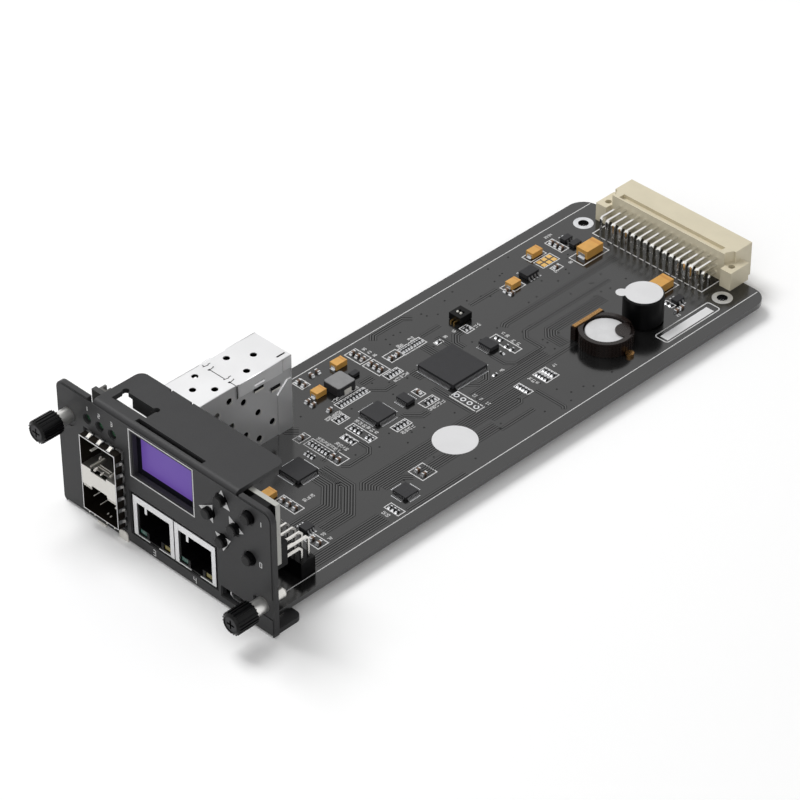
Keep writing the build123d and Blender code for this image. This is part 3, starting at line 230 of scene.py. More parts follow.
# %% Turned shapes
def turned(centre, profile, sides=16):
    """A closed profile of (radius, height) pairs round a centre: point (i, k) is the centre plus
    radius i times the cosine and sine of angle k, at height i."""
    profile = np.asarray(profile, float)
    angle = 2 * np.pi * np.arange(sides) / sides
    ring = np.stack([np.cos(angle), np.sin(angle)], axis=1)
    flat = profile[:, None, :1] * ring[None] + np.asarray(centre, float)[:2]
    height = np.broadcast_to(profile[:, 1, None, None], (len(profile), sides, 1))
    points = np.concatenate([flat, height], axis=2).reshape(-1, 3)
    row = np.arange(len(profile))[:, None]
    this, after = row * sides, (row + 1) % len(profile) * sides
    k = np.arange(sides)[None]
    after_k = (k + 1) % sides
    faces = np.stack([this + k, this + after_k, after + after_k, after + k], axis=2)
    return points, faces.reshape(-1, 4)


def ring_pad(centre, inner, outer, low, high, sides=16):
    """A flat ring: out along the top, down, in along the bottom and up again."""
    return turned(centre, [(outer, low), (outer, high), (inner, high), (inner, low)], sides)


def disc(centre, radius, low, high, sides=16):
    """A flat disc: a ring whose hole closes to a tiny point."""
    return ring_pad(centre, radius * 0.01, radius, low, high, sides)


# %% [markdown]
# Small blocks, such as the tinned ends of chip parts, come in hundreds. All corners of all blocks
# are computed at once from their low and high corners.

# %% Many blocks at once
def blocks(lows, highs):
    """Boxes: corner number c of each box takes low or high on x, y and z by the three bits of c."""
    lows, highs = np.atleast_2d(lows), np.atleast_2d(highs)
    bits = np.array([[c & 1, c >> 1 & 1, c >> 2 & 1] for c in range(8)])
    points = lows[:, None] + (highs - lows)[:, None] * bits[None]
    quad = np.array([[0, 2, 3, 1], [4, 5, 7, 6], [0, 1, 5, 4], [2, 6, 7, 3], [0, 4, 6, 2], [1, 3, 7, 5]])
    faces = 8 * np.arange(len(lows))[:, None, None] + quad[None]
    return points.reshape(-1, 3), faces.reshape(-1, 4)


def solid_boxes(name):
    """Low and high corners of each loose solid of a CAD node, in drawing millimetres. Points that
    coincide are one, and the lowest number spreads through each solid's triangles."""
    mesh = nodes[name].data
    points = np.empty(len(mesh.vertices) * 3)
    mesh.vertices.foreach_get("co", points)
    points = points.reshape(-1, 3)
    corners = np.empty(len(mesh.loops), int)
    mesh.loops.foreach_get("vertex_index", corners)
    same = np.unique(np.round(points * 1e6).astype(int), axis=0, return_inverse=True)[1].reshape(-1)
    triangles = same[corners].reshape(-1, 3)
    label = np.arange(same.max() + 1)
    while True:
        lowest = label[triangles].min(axis=1)
        lower = label.copy()
        for k in range(3):
            np.minimum.at(lower, triangles[:, k], lowest)
        if (lower == label).all():
            break
        label = lower
    number = np.unique(label[same], return_inverse=True)[1].reshape(-1)
    low = np.full((number.max() + 1, 3), 1e9)
    high = -low
    np.minimum.at(low, number, drawn(points))
    np.maximum.at(high, number, drawn(points))
    return low, high


def boxes_of(names):
    """Low and high corners of all loose solids of several CAD nodes."""
    found = [solid_boxes(name) for name in names]
    return np.vstack([low for low, _ in found]), np.vstack([high for _, high in found])


CHIPS = ("processor", "controller", "small_chips")
CHIP_PARTS = ("ceramic_capacitors", "chip_resistors")
print("chips:", len(boxes_of(CHIPS)[0]), "chip parts:", len(boxes_of(CHIP_PARTS)[0]))

# %% [markdown]
# A finish is more than a colour. Paint has a fine peel, moulded plastic a faint grain, and both
# vary a little in shade and gloss. One helper builds these from noise on Object coordinates, in
# metres: the scale of the grain is written as its real size.

# %% A finish with grain
def linear(level):
    """Linear light of an sRGB level from 0 to 255."""
    share = level / 255
    return share / 12.92 if share <= 0.04045 else ((share + 0.055) / 1.055) ** 2.4


def start_finish(name):
    """A node material, its tree, its shader and its Object coordinates."""
    finish = bpy.data.materials.new(name)
    finish.use_nodes = True
    shader = finish.node_tree.nodes["Principled BSDF"]
    where = finish.node_tree.nodes.new("ShaderNodeTexCoord")
    return finish, finish.node_tree, shader, where.outputs["Object"]


def noise(tree, where, size, detail=3.0, stretch=(1, 1, 1)):
    """Noise whose blobs are about one size across, in millimetres, stretched along the axes."""
    mapping = tree.nodes.new("ShaderNodeMapping")
    mapping.inputs["Scale"].default_value = [1 / s for s in stretch]
    tree.links.new(where, mapping.inputs["Vector"])
    cloud = tree.nodes.new("ShaderNodeTexNoise")
    cloud.inputs["Scale"].default_value = 1 / (size * MM)
    cloud.inputs["Detail"].default_value = detail
    tree.links.new(mapping.outputs["Vector"], cloud.inputs["Vector"])
    return cloud.outputs["Fac"]


def mapped(tree, value, from_low, from_high, to_low=0.0, to_high=1.0):
    """A value carried from one range to another, and held at the ends."""
    ranged = tree.nodes.new("ShaderNodeMapRange")
    ends = {"From Min": from_low, "From Max": from_high, "To Min": to_low, "To Max": to_high}
    for name, end in ends.items():
        ranged.inputs[name].default_value = end
    tree.links.new(value, ranged.inputs["Value"])
    return ranged.outputs["Result"]


def spread(tree, value, low, high):
    """A noise carried from its usual range, 0.3 to 0.7, to low to high."""
    return mapped(tree, value, 0.3, 0.7, low, high)


def combined(tree, operation, one, other):
    """Two values made into one by a named operation of the Math node."""
    combiner = tree.nodes.new("ShaderNodeMath")
    combiner.operation = operation
    tree.links.new(one, combiner.inputs[0])
    tree.links.new(other, combiner.inputs[1])
    return combiner.outputs["Value"]


def two_tone(tree, shader, value, dark, light):
    """Base colour between two linear colours, by a value from 0 to 1."""
    mix = tree.nodes.new("ShaderNodeMix")
    mix.data_type = "RGBA"
    mix.inputs["A"].default_value = (*dark, 1)
    mix.inputs["B"].default_value = (*light, 1)
    tree.links.new(value, mix.inputs["Factor"])
    tree.links.new(mix.outputs["Result"], shader.inputs["Base Color"])
    return mix


def gloss(tree, shader, value, smooth, rough):
    """Roughness from smooth to rough, by a noise."""
    tree.links.new(spread(tree, value, smooth, rough), shader.inputs["Roughness"])


def bump(tree, shader, value, depth):
    """Bump of a real depth in millimetres."""
    lift = tree.nodes.new("ShaderNodeBump")
    lift.inputs["Distance"].default_value = depth * MM
    lift.inputs["Strength"].default_value = 1.0
    tree.links.new(value, lift.inputs["Height"])
    tree.links.new(lift.outputs["Normal"], shader.inputs["Normal"])


def grained(name, levels, rough, metal=0.0, grain=0.25, depth=0.01, vary=0.08, patch=6.0,
            stretch=(1, 1, 1), gleam=0.5):
    """A finish: its sRGB levels vary by a share in patches, its gloss varies too, and its grain has
    a size and a depth in millimetres."""
    finish, tree, shader, where = start_finish(name)
    colour = np.array([linear(level) for level in levels])
    patches = noise(tree, where, patch, 2.0)
    fine = noise(tree, where, grain, 2.0, stretch)
    two_tone(tree, shader, spread(tree, patches, 0, 1), colour * (1 - vary), colour * (1 + vary))
    gloss(tree, shader, fine, rough * 0.85, min(1.0, rough * 1.15))
    shader.inputs["Metallic"].default_value = metal
    shader.inputs["Specular IOR Level"].default_value = gleam
    bump(tree, shader, fine, depth)
    return finish


# %% [markdown]
# The list of finishes follows the real parts. The panel has a satin dark grey paint, the board a
# black solder mask, the cage and the jacks are tin plated sheet, the connector at the rear is
# pale beige plastic, and the chips are matt black resin.

# %% Finishes of the plain parts
panel_paint = grained("panel_paint", (47, 47, 48), 0.5, grain=0.18, depth=0.003, vary=0.04, gleam=0.22)
film = grained("printed_film", (44, 44, 45), 0.45, grain=0.12, depth=0.002, vary=0.04, gleam=0.25)
black_plastic = grained("moulded_black_plastic_and_painted_shade", (7, 7, 8), 0.35, grain=0.3, depth=0.005, gleam=0.12)
chip_black = grained("chip_resin", (40, 40, 42), 0.6, grain=0.12, depth=0.003, vary=0.05, patch=3, gleam=0.25)
beige_plastic = grained("beige_plastic", (209, 200, 175), 0.5, grain=0.5, depth=0.005, vary=0.03)
pale_plastic = grained("pale_plastic", (216, 214, 207), 0.45, grain=0.4, depth=0.005, vary=0.03)
clip_grey = grained("clip_grey", (84, 83, 80), 0.45, grain=0.4, depth=0.005, vary=0.05, gleam=0.3)
steel = grained("tin_plated_sheet", (218, 218, 219), 0.33, 1.0, grain=0.4, depth=0.0001, vary=0.012, patch=9)
# The bent lips and tabs share one pale tin finish with a low metal share, so they show bright whatever they
# face: tin with a painted highlight. The side_lips finish is a darker copy of it, painted shade for the lips
# that face sideways.
tin_with_highlight = grained("bent_tin_with_painted_highlight", (226, 223, 216), 0.45, 0.3, grain=0.3, depth=0.0006, vary=0.04)
tin_with_painted_shade = grained("side_lips", (150, 149, 147), 0.45, 0.3, grain=0.3, depth=0.0006, vary=0.06)
lead_metal_and_finger_shade = grained("chip_leads", (118, 118, 119), 0.4, 1.0, grain=0.3, depth=0.001, vary=0.1, patch=1.5)
ferrule_metal = grained("ferrule_metal", (224, 223, 220), 0.36, 1.0, grain=0.3, depth=0.0006, vary=0.04)
nickel = grained("turned_nickel", (214, 212, 208), 0.24, 1.0, grain=0.3, depth=0.0006, vary=0.04,
                 stretch=(1, 0.2, 1))
plate_steel = grained("plate_steel", (207, 205, 200), 0.4, 1.0, grain=0.4, depth=0.0001, vary=0.012, patch=9)
pin_metal = grained("pin_metal", (228, 227, 224), 0.14, 1.0, grain=0.3, depth=0.0004, vary=0.03)
dark_brass = grained("dark_brass", (160, 122, 76), 0.26, 1.0, grain=0.3, depth=0.001, vary=0.08)
gold = grained("gold_plate", (226, 184, 112), 0.24, 1.0, grain=0.3, depth=0.001, vary=0.08)
solder = grained("tin_solder", (208, 209, 211), 0.34, 1.0, grain=0.35, depth=0.003, vary=0.1, patch=1.5)
knob_black = grained("knob_black", (7, 7, 8), 0.32, grain=0.35, depth=0.004, gleam=0.16)
label_paper = grained("label_paper", (217, 217, 218), 0.6, grain=0.15, depth=0.003, vary=0.02, gleam=0.2)
ink = grained("white_ink", (206, 206, 206), 0.6, grain=0.12, depth=0.003, vary=0.06, patch=1.0, gleam=0.25)
tantalum = grained("tantalum_resin", (206, 154, 74), 0.42, grain=0.2, depth=0.003, vary=0.06, patch=2)
ceramic = grained("ceramic_body", (96, 72, 54), 0.38, grain=0.15, depth=0.003, vary=0.2, patch=1.2)
resistor = grained("resistor_glaze", (16, 16, 18), 0.3, grain=0.2, depth=0.003, vary=0.1, patch=1.2)
ferrite = grained("ferrite", (128, 128, 129), 0.6, grain=0.18, depth=0.006, vary=0.08, patch=1.2)
holder_brown = grained("holder_brown", (24, 15, 12), 0.25, grain=0.4, depth=0.004, vary=0.1, gleam=0.35)
cell_face = grained("coin_cell_steel", (192, 192, 193), 0.5, 1.0, grain=0.25, depth=0.0008, vary=0.04,
                    patch=2.5)
print("finishes:", len(bpy.data.materials))

# %% [markdown]
# The solder mask is a black lacquer, smooth enough to mirror the parts that stand on it: most of
# the grey that the eye sees on the board is the pale studio, reflected, and a black part draws a
# black reflection under itself. So the colour is nearly black and the gloss does the work. Under
# most of the mask lies a sheet of copper. Only the gaps beside the tracks have none: there the
# lacquer sinks into dark resin and mirrors less.

# %% Solder mask and covered copper
def lacquer(name, dark, light, rough, gleam):
    """Black lacquer: a nearly black colour that varies in slow fields, and a strong smooth gloss."""
    finish, tree, shader, where = start_finish(name)
    two_tone(tree, shader, spread(tree, noise(tree, where, 16, 1.0), 0, 1), (dark,) * 3, (light,) * 3)
    gloss(tree, shader, noise(tree, where, 5, 1.0), rough * 0.92, rough * 1.08)
    shader.inputs["Specular IOR Level"].default_value = gleam
    bump(tree, shader, noise(tree, where, 1.6, 1.0), 0.0006)
    return finish


mask = lacquer("black_solder_mask", 0.003, 0.006, 0.16, 0.76)
copper_tone = lacquer("masked_copper", 0.014, 0.018, 0.18, 0.95)
bare_tone = lacquer("masked_resin", 0.002, 0.004, 0.3, 0.14)

# %% [markdown]
# The display shows a plain violet field behind clear glass. It glows a little by itself, so the
# colour goes to emission as well as to the base. Its own light must stay weak, or it would tint
# the panel.

# %% Display glass
def within(tree, where, low, high, edge=0.05, axes="XZ"):
    """1 inside a box of drawing places and 0 outside it: the product of a climb and a fall on
    each axis."""
    split = tree.nodes.new("ShaderNodeSeparateXYZ")
    tree.links.new(where, split.inputs["Vector"])
    low, high = place(low), place(high)
    value = None
    for axis in axes:
        number = "XYZ".index(axis)
        for start, end in ((low[number] - edge * MM, low[number]), (high[number] + edge * MM, high[number])):
            side = mapped(tree, split.outputs[axis], start, end)
            value = side if value is None else combined(tree, "MULTIPLY", value, side)
    return value


def either(tree, one, other):
    """The larger of two values."""
    return combined(tree, "MAXIMUM", one, other)


FIELD_LOW = (31.0, 0, 26.0)
FIELD_HIGH = (52.6, 0, 38.4)
glass, tree, shader, where = start_finish("display_glass")
lit = within(tree, where, FIELD_LOW, FIELD_HIGH)
violet = two_tone(tree, shader, lit, (0.004, 0.004, 0.006), (0.094, 0.052, 0.240))
tree.links.new(violet.outputs["Result"], shader.inputs["Emission Color"])
shader.inputs["Emission Strength"].default_value = 0.7
gloss(tree, shader, noise(tree, where, 8), 0.3, 0.36)
shader.inputs["Specular IOR Level"].default_value = 0.12
print("display field:", np.round(np.subtract(FIELD_HIGH, FIELD_LOW), 1))

# %% [markdown]
# Four parts change finish along themselves. The keypad board is cut from pale glass cloth, so its
# edges show pale, except at its left end, while its faces are black. The cage is bright, but inside
# it mirrors only itself and before the panel only the panel, so there its colour is a painted dark
# brown: painted shade and painted reflection. The folded flaps of its cover lean out a little and
# catch more light than the walls, which a painted highlight shows. The thumbscrews are blackened at
# the head and bright on the shank. Each of these is one mesh, so the finish itself looks at the place
# on the part.

# %% Finishes that change along a part
def by_place(tree, shader, where, mask, outside, inside, metal, patch, smooth, rough):
    """One linear colour outside a mask and another inside it, and a gloss that varies in patches."""
    two_tone(tree, shader, mask, outside, inside)
    shader.inputs["Metallic"].default_value = metal
    gloss(tree, shader, noise(tree, where, patch), smooth, rough)


keypad_low, keypad_high = node_box("keypad_board")
keypad_mask, tree, shader, where = start_finish("keypad_board_cut")
faces_of = within(tree, where, keypad_low + 0.06, keypad_high - 0.06, 0.02)
# The left end, up to x 30 mm, is black too, like the faces.
dark_left_end = within(tree, where, keypad_low - 1, (30.0, 0, 0), 0.5, "X")
black_part = either(tree, faces_of, dark_left_end)
by_place(tree, shader, where, black_part, (0.44, 0.44, 0.41), (0.008, 0.008, 0.008), 0.0, 0.4, 0.4, 0.55)

INSIDE = 0.25
cage_low, cage_high = node_box("cage_body")
cage_steel_and_painted_shade, tree, shader, where = start_finish("cage_steel_and_painted_shade")
# Painted shade and painted reflection: the steel is dark brown inside the cage and on the sleeve before the
# panel.
hollow = within(tree, where, cage_low + INSIDE, cage_high - INSIDE, 0.02)
sleeve = within(tree, where, (0, cage_low[1] + 0.12, 0), (0, -0.2, 0), 0.02, "Y")
painted_shade = either(tree, hollow, sleeve)
by_place(tree, shader, where, painted_shade, (0.72, 0.72, 0.725), (0.030, 0.024, 0.019), 0.8, 9, 0.3, 0.36)

FLAP_DROP = 4.4
cover_low, cover_high = node_box("cage_cover")
cover_steel_and_painted_highlight, tree, shader, where = start_finish("cover_steel_and_painted_highlight")
flap_low = (cover_low[0] - 1, 0, cover_high[2] - FLAP_DROP)
flap_high = (cover_high[0] + 1, 0, cover_high[2] - 0.15)
# Painted highlight: the folded flaps near the cover's top are nearly white, lighter than the walls.
flap_highlight = within(tree, where, flap_low, flap_high, 0.02)
by_place(tree, shader, where, flap_highlight, (0.71, 0.71, 0.715), (0.98, 0.98, 0.985), 0.8, 9, 0.3, 0.36)

HEAD_L = 1.5
screw_low, screw_high = node_box("left_screw")
screw_metal, tree, shader, where = start_finish("blackened_screw")
shank = within(tree, where, (0, screw_low[1] + HEAD_L, 0), (0, screw_high[1] + 1, 0), 0.2, "Y")
by_place(tree, shader, where, shank, (0.035, 0.035, 0.037), (0.66, 0.65, 0.62), 1.0, 0.3, 0.3, 0.42)
print("cage from", np.round(cage_low, 1), "screw head from", round(screw_low[1], 2))

# %% [markdown]
# Lamps are small clear mouldings. A little transmission with a strong colour looks like the real
# thing, lit or not. The lamps are off, so their weak glow is painted light: it keeps the colour
# readable inside a dark jack.

# %% Lamp colours
def lamp(name, colour, glow):
    """Tinted clear plastic with a weak painted glow of its own colour."""
    finish, tree, shader, where = start_finish(name)
    full = np.array(colour)
    two_tone(tree, shader, spread(tree, noise(tree, where, 0.6), 0, 1), full * 0.8, full)
    gloss(tree, shader, noise(tree, where, 0.3), 0.15, 0.3)
    shader.inputs["Transmission Weight"].default_value = 0.3
    shader.inputs["Emission Color"].default_value = (*colour, 1)
    # Painted glow: the lamps are off, yet they give a little light of their own colour.
    shader.inputs["Emission Strength"].default_value = glow
    return finish


green_lamp = lamp("green_lamp", (0.025, 0.11, 0.085), 0.1)
yellow_lamp = lamp("yellow_lamp", (0.22, 0.18, 0.035), 0.1)
clear_lamp = lamp("clear_lamp", (0.03, 0.10, 0.05), 0.05)

# %% [markdown]
# Every CAD node gets its finish through its material slots. Its mesh is never touched.

# %% Dress the CAD nodes
KEYS = ("up", "left", "right", "down", "ok", "esc")
dress = {
    panel_paint: ["front_panel"],
    film: ["panel_overlay"],
    mask: ["main_board"],
    keypad_mask: ["keypad_board"],
    cage_steel_and_painted_shade: ["cage_body"],
    cover_steel_and_painted_highlight: ["cage_cover"],
    plate_steel: ["cage_middle"],
    steel: ["network_shield_1", "network_shield_2", "console_shell"],
    ferrule_metal: ["screw_ferrules"],
    pin_metal: ["rear_pins"],
    nickel: ["header_pins", "left_washer", "right_washer", "board_spacers"],
    screw_metal: ["left_screw", "right_screw"],
    # The spring fingers take this darker lead metal rather than the cage's steel: painted shade, for the dark
    # frame round the cage's mouth.
    lead_metal_and_finger_shade: ["processor_leads", "small_chip_leads", "spring_fingers"],
    black_plastic: ["module_connector", "display_module", "switch_bodies", "header_blocks", "buzzer",
                    "console_tongue", "network_insert_1", "network_insert_2", "dip_switch"],
    holder_brown: ["cell_holder"],
    beige_plastic: ["rear_connector"],
    clip_grey: ["corner_clip"],
    pale_plastic: ["dip_lever_1", "dip_lever_2"],
    gold: ["network_wires", "dip_pins"],
    dark_brass: ["cell_contacts"],
    cell_face: ["coin_cell"],
    knob_black: ["left_knob", "right_knob"] + [f"button_{key}" for key in KEYS],
    chip_black: list(CHIPS),
    tantalum: ["tantalum_capacitors"],
    ceramic: ["ceramic_capacitors"],
    resistor: ["chip_resistors"],
    ferrite: ["power_inductor"],
    glass: ["display_glass"],
    label_paper: ["buzzer_label", "inspection_sticker"],
    green_lamp: ["link_lamps"],
    yellow_lamp: ["traffic_lamps"],
    clear_lamp: ["panel_lamps"],
}
for finish, names in dress.items():
    for name in names:
        mesh = nodes[name].data
        mesh.materials.clear()
        mesh.materials.append(finish)
bare = sorted(set(nodes) - {name for names in dress.values() for name in names})
print("dressed", len(nodes) - len(bare), "nodes, still bare:", bare)

# %% [markdown]
# Copper tracks run in bundles under the mask: they leave a chip, turn by 45 degrees and run on
# side by side. Each bundle is written as its first track, how many there are and the side that the
# others lie on. A flat dark band lies under the whole bundle and shows in the gaps.

# %% Copper tracks
TRACK_W = 0.4
TRACK_H = 0.035
TRACK_PITCH = 0.78
GAP_H = 0.012
bundles = [
    ([(57.2, 118.0), (57.2, 57.4), (59.6, 55.0)], 7, -1),
    ([(54.9, 147.0), (54.9, 104.0)], 2, -1),
    ([(50.4, 136.5), (50.4, 107.0)], 5, -1),
    ([(64.4, 102.0), (64.4, 72.5)], 5, -1),
    ([(67.6, 114.8), (67.6, 101.2)], 2, -1),
    ([(20.4, 149.5), (20.4, 138.0)], 2, -1),
    ([(33.6, 186.0), (33.6, 138.2), (34.6, 136.6)], 3, -1),
    ([(40.4, 176.0), (40.4, 140.0), (43.2, 137.2), (49.4, 137.2), (49.4, 127.0), (47.4, 125.0),
      (42.0, 125.0)], 2, -1),
    ([(44.2, 168.0), (44.2, 145.0), (47.4, 141.8), (53.6, 141.8)], 5, -1),
    ([(41.2, 101.2), (56.4, 101.2)], 3, -1),
    ([(62.4, 121.9), (73.4, 121.9), (74.4, 120.9)], 2, 1),
    ([(45.0, 55.6), (56.6, 55.6), (66.0, 46.2), (66.0, 36.0)], 5, 1),
    ([(46.4, 48.8), (51.0, 48.8), (56.4, 43.4), (56.4, 30.6)], 7, -1),
    ([(38.0, 69.4), (47.6, 69.4), (49.2, 67.8), (49.2, 60.4), (47.8, 59.0)], 2, -1),
    ([(21.4, 58.0), (26.8, 58.0), (29.4, 60.6)], 4, -1),
    ([(31.8, 95.8), (31.8, 92.0), (28.0, 88.2), (28.0, 87.9)], 2, -1),
    ([(24.6, 93.4), (24.6, 88.8)], 3, -1),
    ([(48.6, 93.0), (48.6, 90.2), (44.6, 86.2), (43.4, 86.2)], 3, 1),
    ([(21.0, 124.6), (21.0, 117.0)], 2, -1),
    ([(28.8, 126.8), (28.8, 124.8), (31.0, 122.6), (34.0, 122.6)], 3, 1),
    ([(46.4, 119.0), (49.8, 115.6), (49.8, 112.0), (46.4, 108.6)], 3, 1),
    ([(30.4, 119.4), (24.8, 119.4)], 3, 1),
    ([(30.4, 113.0), (25.2, 113.0)], 4, 1),
    ([(31.6, 104.6), (31.6, 101.8)], 6, -1),
    ([(61.6, 118.4), (61.6, 115.4), (62.8, 114.2), (62.8, 103.0)], 2, -1),
    ([(62.6, 60.0), (62.6, 67.4), (65.0, 69.8)], 3, 1),
    ([(74.2, 80.5), (74.2, 58.0)], 2, -1),
    ([(70.2, 51.0), (70.2, 24.0)], 6, -1),
    ([(14.0, 121.0), (12.0, 119.0), (12.0, 108.0), (13.6, 106.4)], 3, 1),
    ([(43.2, 68.0), (43.2, 56.6)], 2, 1),
]
tracks, gaps = [], []
for path, count, side in bundles:
    lines = bundle(path, count, side * TRACK_PITCH)
    gaps.append(on_board((lines[0] + lines[-1]) / 2, TRACK_PITCH * count, GAP_H))
    tracks += [on_board(line, TRACK_W, TRACK_H) for line in lines]
piece("bare_gaps", *joined(gaps), bare_tone, "board")
piece("board_tracks", *joined(tracks), copper_tone, "board")
print("tracks:", len(tracks))

# %% [markdown]
# White printing frames the parts and rules the board's edges. The frames are closed strips round
# each group, and the tall pill beside the buzzer frames a blank paper label.

# %% Printed frames
INK_W = 0.3
WIDE_INK_W = 0.35
EDGE_INK_W = 0.28
INK_H = 0.02


def rectangle(x0, x1, y0, y1):
    """A closed path that starts and ends in the middle of one side, so all four corners are mitred."""
    middle = (x0 + x1) / 2
    return [(middle, y0), (x1, y0), (x1, y1), (x0, y1), (x0, y0), (middle, y0)]


def pill(x0, x1, y0, y1, radius):
    """A rounded frame: four quarter circles joined by straight sides."""
    angle = np.linspace(0, np.pi / 2, 7)
    corners = []
    for start, x, y in ((-0.5, x1 - radius, y0 + radius), (0, x1 - radius, y1 - radius),
                        (0.5, x0 + radius, y1 - radius), (1, x0 + radius, y0 + radius)):
        turned_by = angle + start * np.pi
        corners.append(np.stack([x + radius * np.cos(turned_by), y + radius * np.sin(turned_by)], axis=1))
    path = np.vstack(corners)
    middle = np.array([[(x0 + x1) / 2, y0]])
    return np.vstack([middle, path, middle])


# Each frame is its low and high x and its low and high y.
frame_spans = [
    (20.5, 24.4, 102.2, 107.3), (19.5, 26.3, 95.2, 99.6), (12.2, 18.6, 95.2, 99.6),
    (26.9, 29.6, 95.9, 101.6), (43.2, 46.1, 93.8, 99.4), (26.9, 29.7, 76.8, 88.2),
    (45.5, 48.3, 80.4, 86.2), (36.8, 46.2, 71.4, 74.6), (38.8, 43.7, 67.4, 69.8),
    (31.4, 34.3, 71.3, 75.6), (33.8, 42.4, 58.2, 61.8), (42.4, 47.4, 58.2, 62.6),
    (30.1, 32.7, 57.6, 62.0), (63.0, 68.6, 69.9, 75.4), (69.3, 74.6, 54.3, 57.0),
    (56.9, 62.3, 128.9, 131.3), (56.9, 62.3, 126.1, 128.5), (56.9, 62.3, 118.3, 120.6),
    (21.2, 24.5, 111.8, 116.2), (21.2, 24.5, 107.5, 111.7), (26.2, 27.7, 117.3, 120.0),
    (26.6, 29.9, 127.4, 130.4), (46.2, 54.2, 35.3, 38.9), (64.0, 69.4, 29.4, 33.2),
    (14.6, 21.4, 176.4, 179.6), (24.9, 30.6, 175.9, 187.2), (51.8, 57.2, 177.9, 188.2),
    (14.8, 18.4, 166.3, 173.0), (21.0, 25.2, 150.4, 156.8), (59.8, 63.4, 178.2, 179.9),
    (19.2, 23.2, 166.6, 173.6), (36.0, 46.2, 130.0, 133.0), (11.4, 15.4, 75.4, 78.6),
    (38.0, 41.6, 96.3, 98.5), (24.6, 26.8, 168.0, 171.4),
]
frames = [on_board(rectangle(*spans), INK_W, INK_H) for spans in frame_spans]
for x in (9.9, 75.9):
    frames.append(on_board([(x, 9.0), (x, 201.6)], EDGE_INK_W, INK_H))
for path in (rectangle(47.2, 57.5, 102.4, 105.6), pill(69.0, 73.8, 164.3, 187.7, 0.9),
             [(21.2, 196.4), (21.2, 190.3), (64.3, 190.3), (64.3, 198.0)]):
    frames.append(on_board(path, WIDE_INK_W, INK_H))
piece("printed_frames", *joined(frames), ink, "label")
print("frames:", len(frames))

# %% [markdown]
# Plain numbers stand beside the parts. They are drawn as the strokes of a seven segment digit, each
# stroke a short strip. A row of them is written as its first place, its step, how many there are,
# and 1 where they are turned on end.

# %% Printed numbers
SEGMENTS = {
    "a": ((0, 2), (1, 2)), "b": ((1, 2), (1, 1)), "c": ((1, 1), (1, 0)), "d": ((0, 0), (1, 0)),
    "e": ((0, 1), (0, 0)), "f": ((0, 2), (0, 1)), "g": ((0, 1), (1, 1)),
}
DIGITS = ("abcdef", "bc", "abged", "abgcd", "fgbc", "afgcd", "afgedc", "abc", "abcdefg", "abcdfg")
SEGMENT = 0.5
DIGIT_STEP = 0.85
NUMBER_H = 0.85
STROKE_W = 0.2


def number_strokes(number, at, height, angle=0.0):
    """Stroke ends of a number's digits: each segment's grid point, scaled, turned by the angle and
    moved. A segment and the step between digits are shares of the height."""
    strokes = []
    turn = np.array([[math.cos(angle), math.sin(angle)], [-math.sin(angle), math.cos(angle)]])
    for index, digit in enumerate(str(number)):
        for name in DIGITS[int(digit)]:
            ends = np.array(SEGMENTS[name], float) * (height * SEGMENT) + (index * height * DIGIT_STEP, 0)
            strokes.append(ends @ turn + np.asarray(at, float))
    return strokes


number_rows = [
    (25.0, 77.2, 0, 1.15, 9, 0), (30.4, 96.4, 0, 1.2, 5, 0), (46.9, 93.9, 0, 1.25, 5, 0),
    (49.0, 80.9, 0, 1.3, 4, 0), (37.2, 75.4, 1.5, 0, 6, 1), (35.4, 62.4, 1.3, 0, 7, 1),
    (29.8, 70.2, 0, 1.2, 5, 0), (52.4, 107.0, 2.6, 0, 3, 1), (58.6, 133.2, 1.2, 0, 1, 1),
    (58.0, 123.6, 1.4, 0, 3, 1), (19.6, 113.2, 0, 1.1, 2, 0), (19.6, 108.6, 0, 1.1, 2, 0),
    (14.6, 100.6, 2.1, 0, 3, 1), (37.6, 134.0, 1.7, 0, 2, 1), (42.2, 133.4, 2.1, 0, 2, 1),
    (28.6, 131.2, 0, 1.2, 2, 0), (26.9, 121.2, 0, 0, 1, 1), (49.6, 121.0, 0, 0, 1, 1),
    (71.4, 52.0, 1.4, 0, 2, 1), (66.2, 34.2, 2.6, 0, 2, 1), (51.2, 41.0, 0, 1.4, 3, 0),
    (25.6, 125.0, 0, 0, 1, 0), (27.2, 174.0, 0, 0, 1, 1), (27.4, 167.6, 0, 0, 1, 1),
    (13.2, 180.0, 0, -1.6, 2, 1), (22.0, 158.6, 0, -2.6, 3, 1), (67.6, 176.2, 0, 0, 1, 1),
    (40.6, 64.4, 1.2, 0, 4, 1),
]
marks = []
for row, (x, y, step_x, step_y, count, on_end) in enumerate(number_rows):
    for index in range(count):
        number = 11 + (row * 7 + index * 13) % 85
        spot = (x + index * step_x, y + index * step_y)
        for ends in number_strokes(number, spot, NUMBER_H, on_end * math.pi / 2):
            marks.append(on_board(ends, STROKE_W, INK_H))
piece("printed_numbers", *joined(marks), ink, "label")
print("strokes:", len(marks))

# %% [markdown]
# Vias join the copper layers. Each is a small ring under the mask, darker than the copper round it.
# A seeded scatter of them fills the board wherever no part stands. Pads and holes lie bare: broad
# rings round the two screw holes, four open holes in a row, and six gilt squares. Each open hole
# shows as a black disc of painted shade.

# %% Vias and pads
KEEP_OFF = 1.4
PAD_H = 0.035
SCREW_HOLES = [(x, 192.3) for x in (15.6, 70.5)]
OPEN_HOLES = [(x, 104.0) for x in (48.3, 50.9, 53.4, 56.0)]

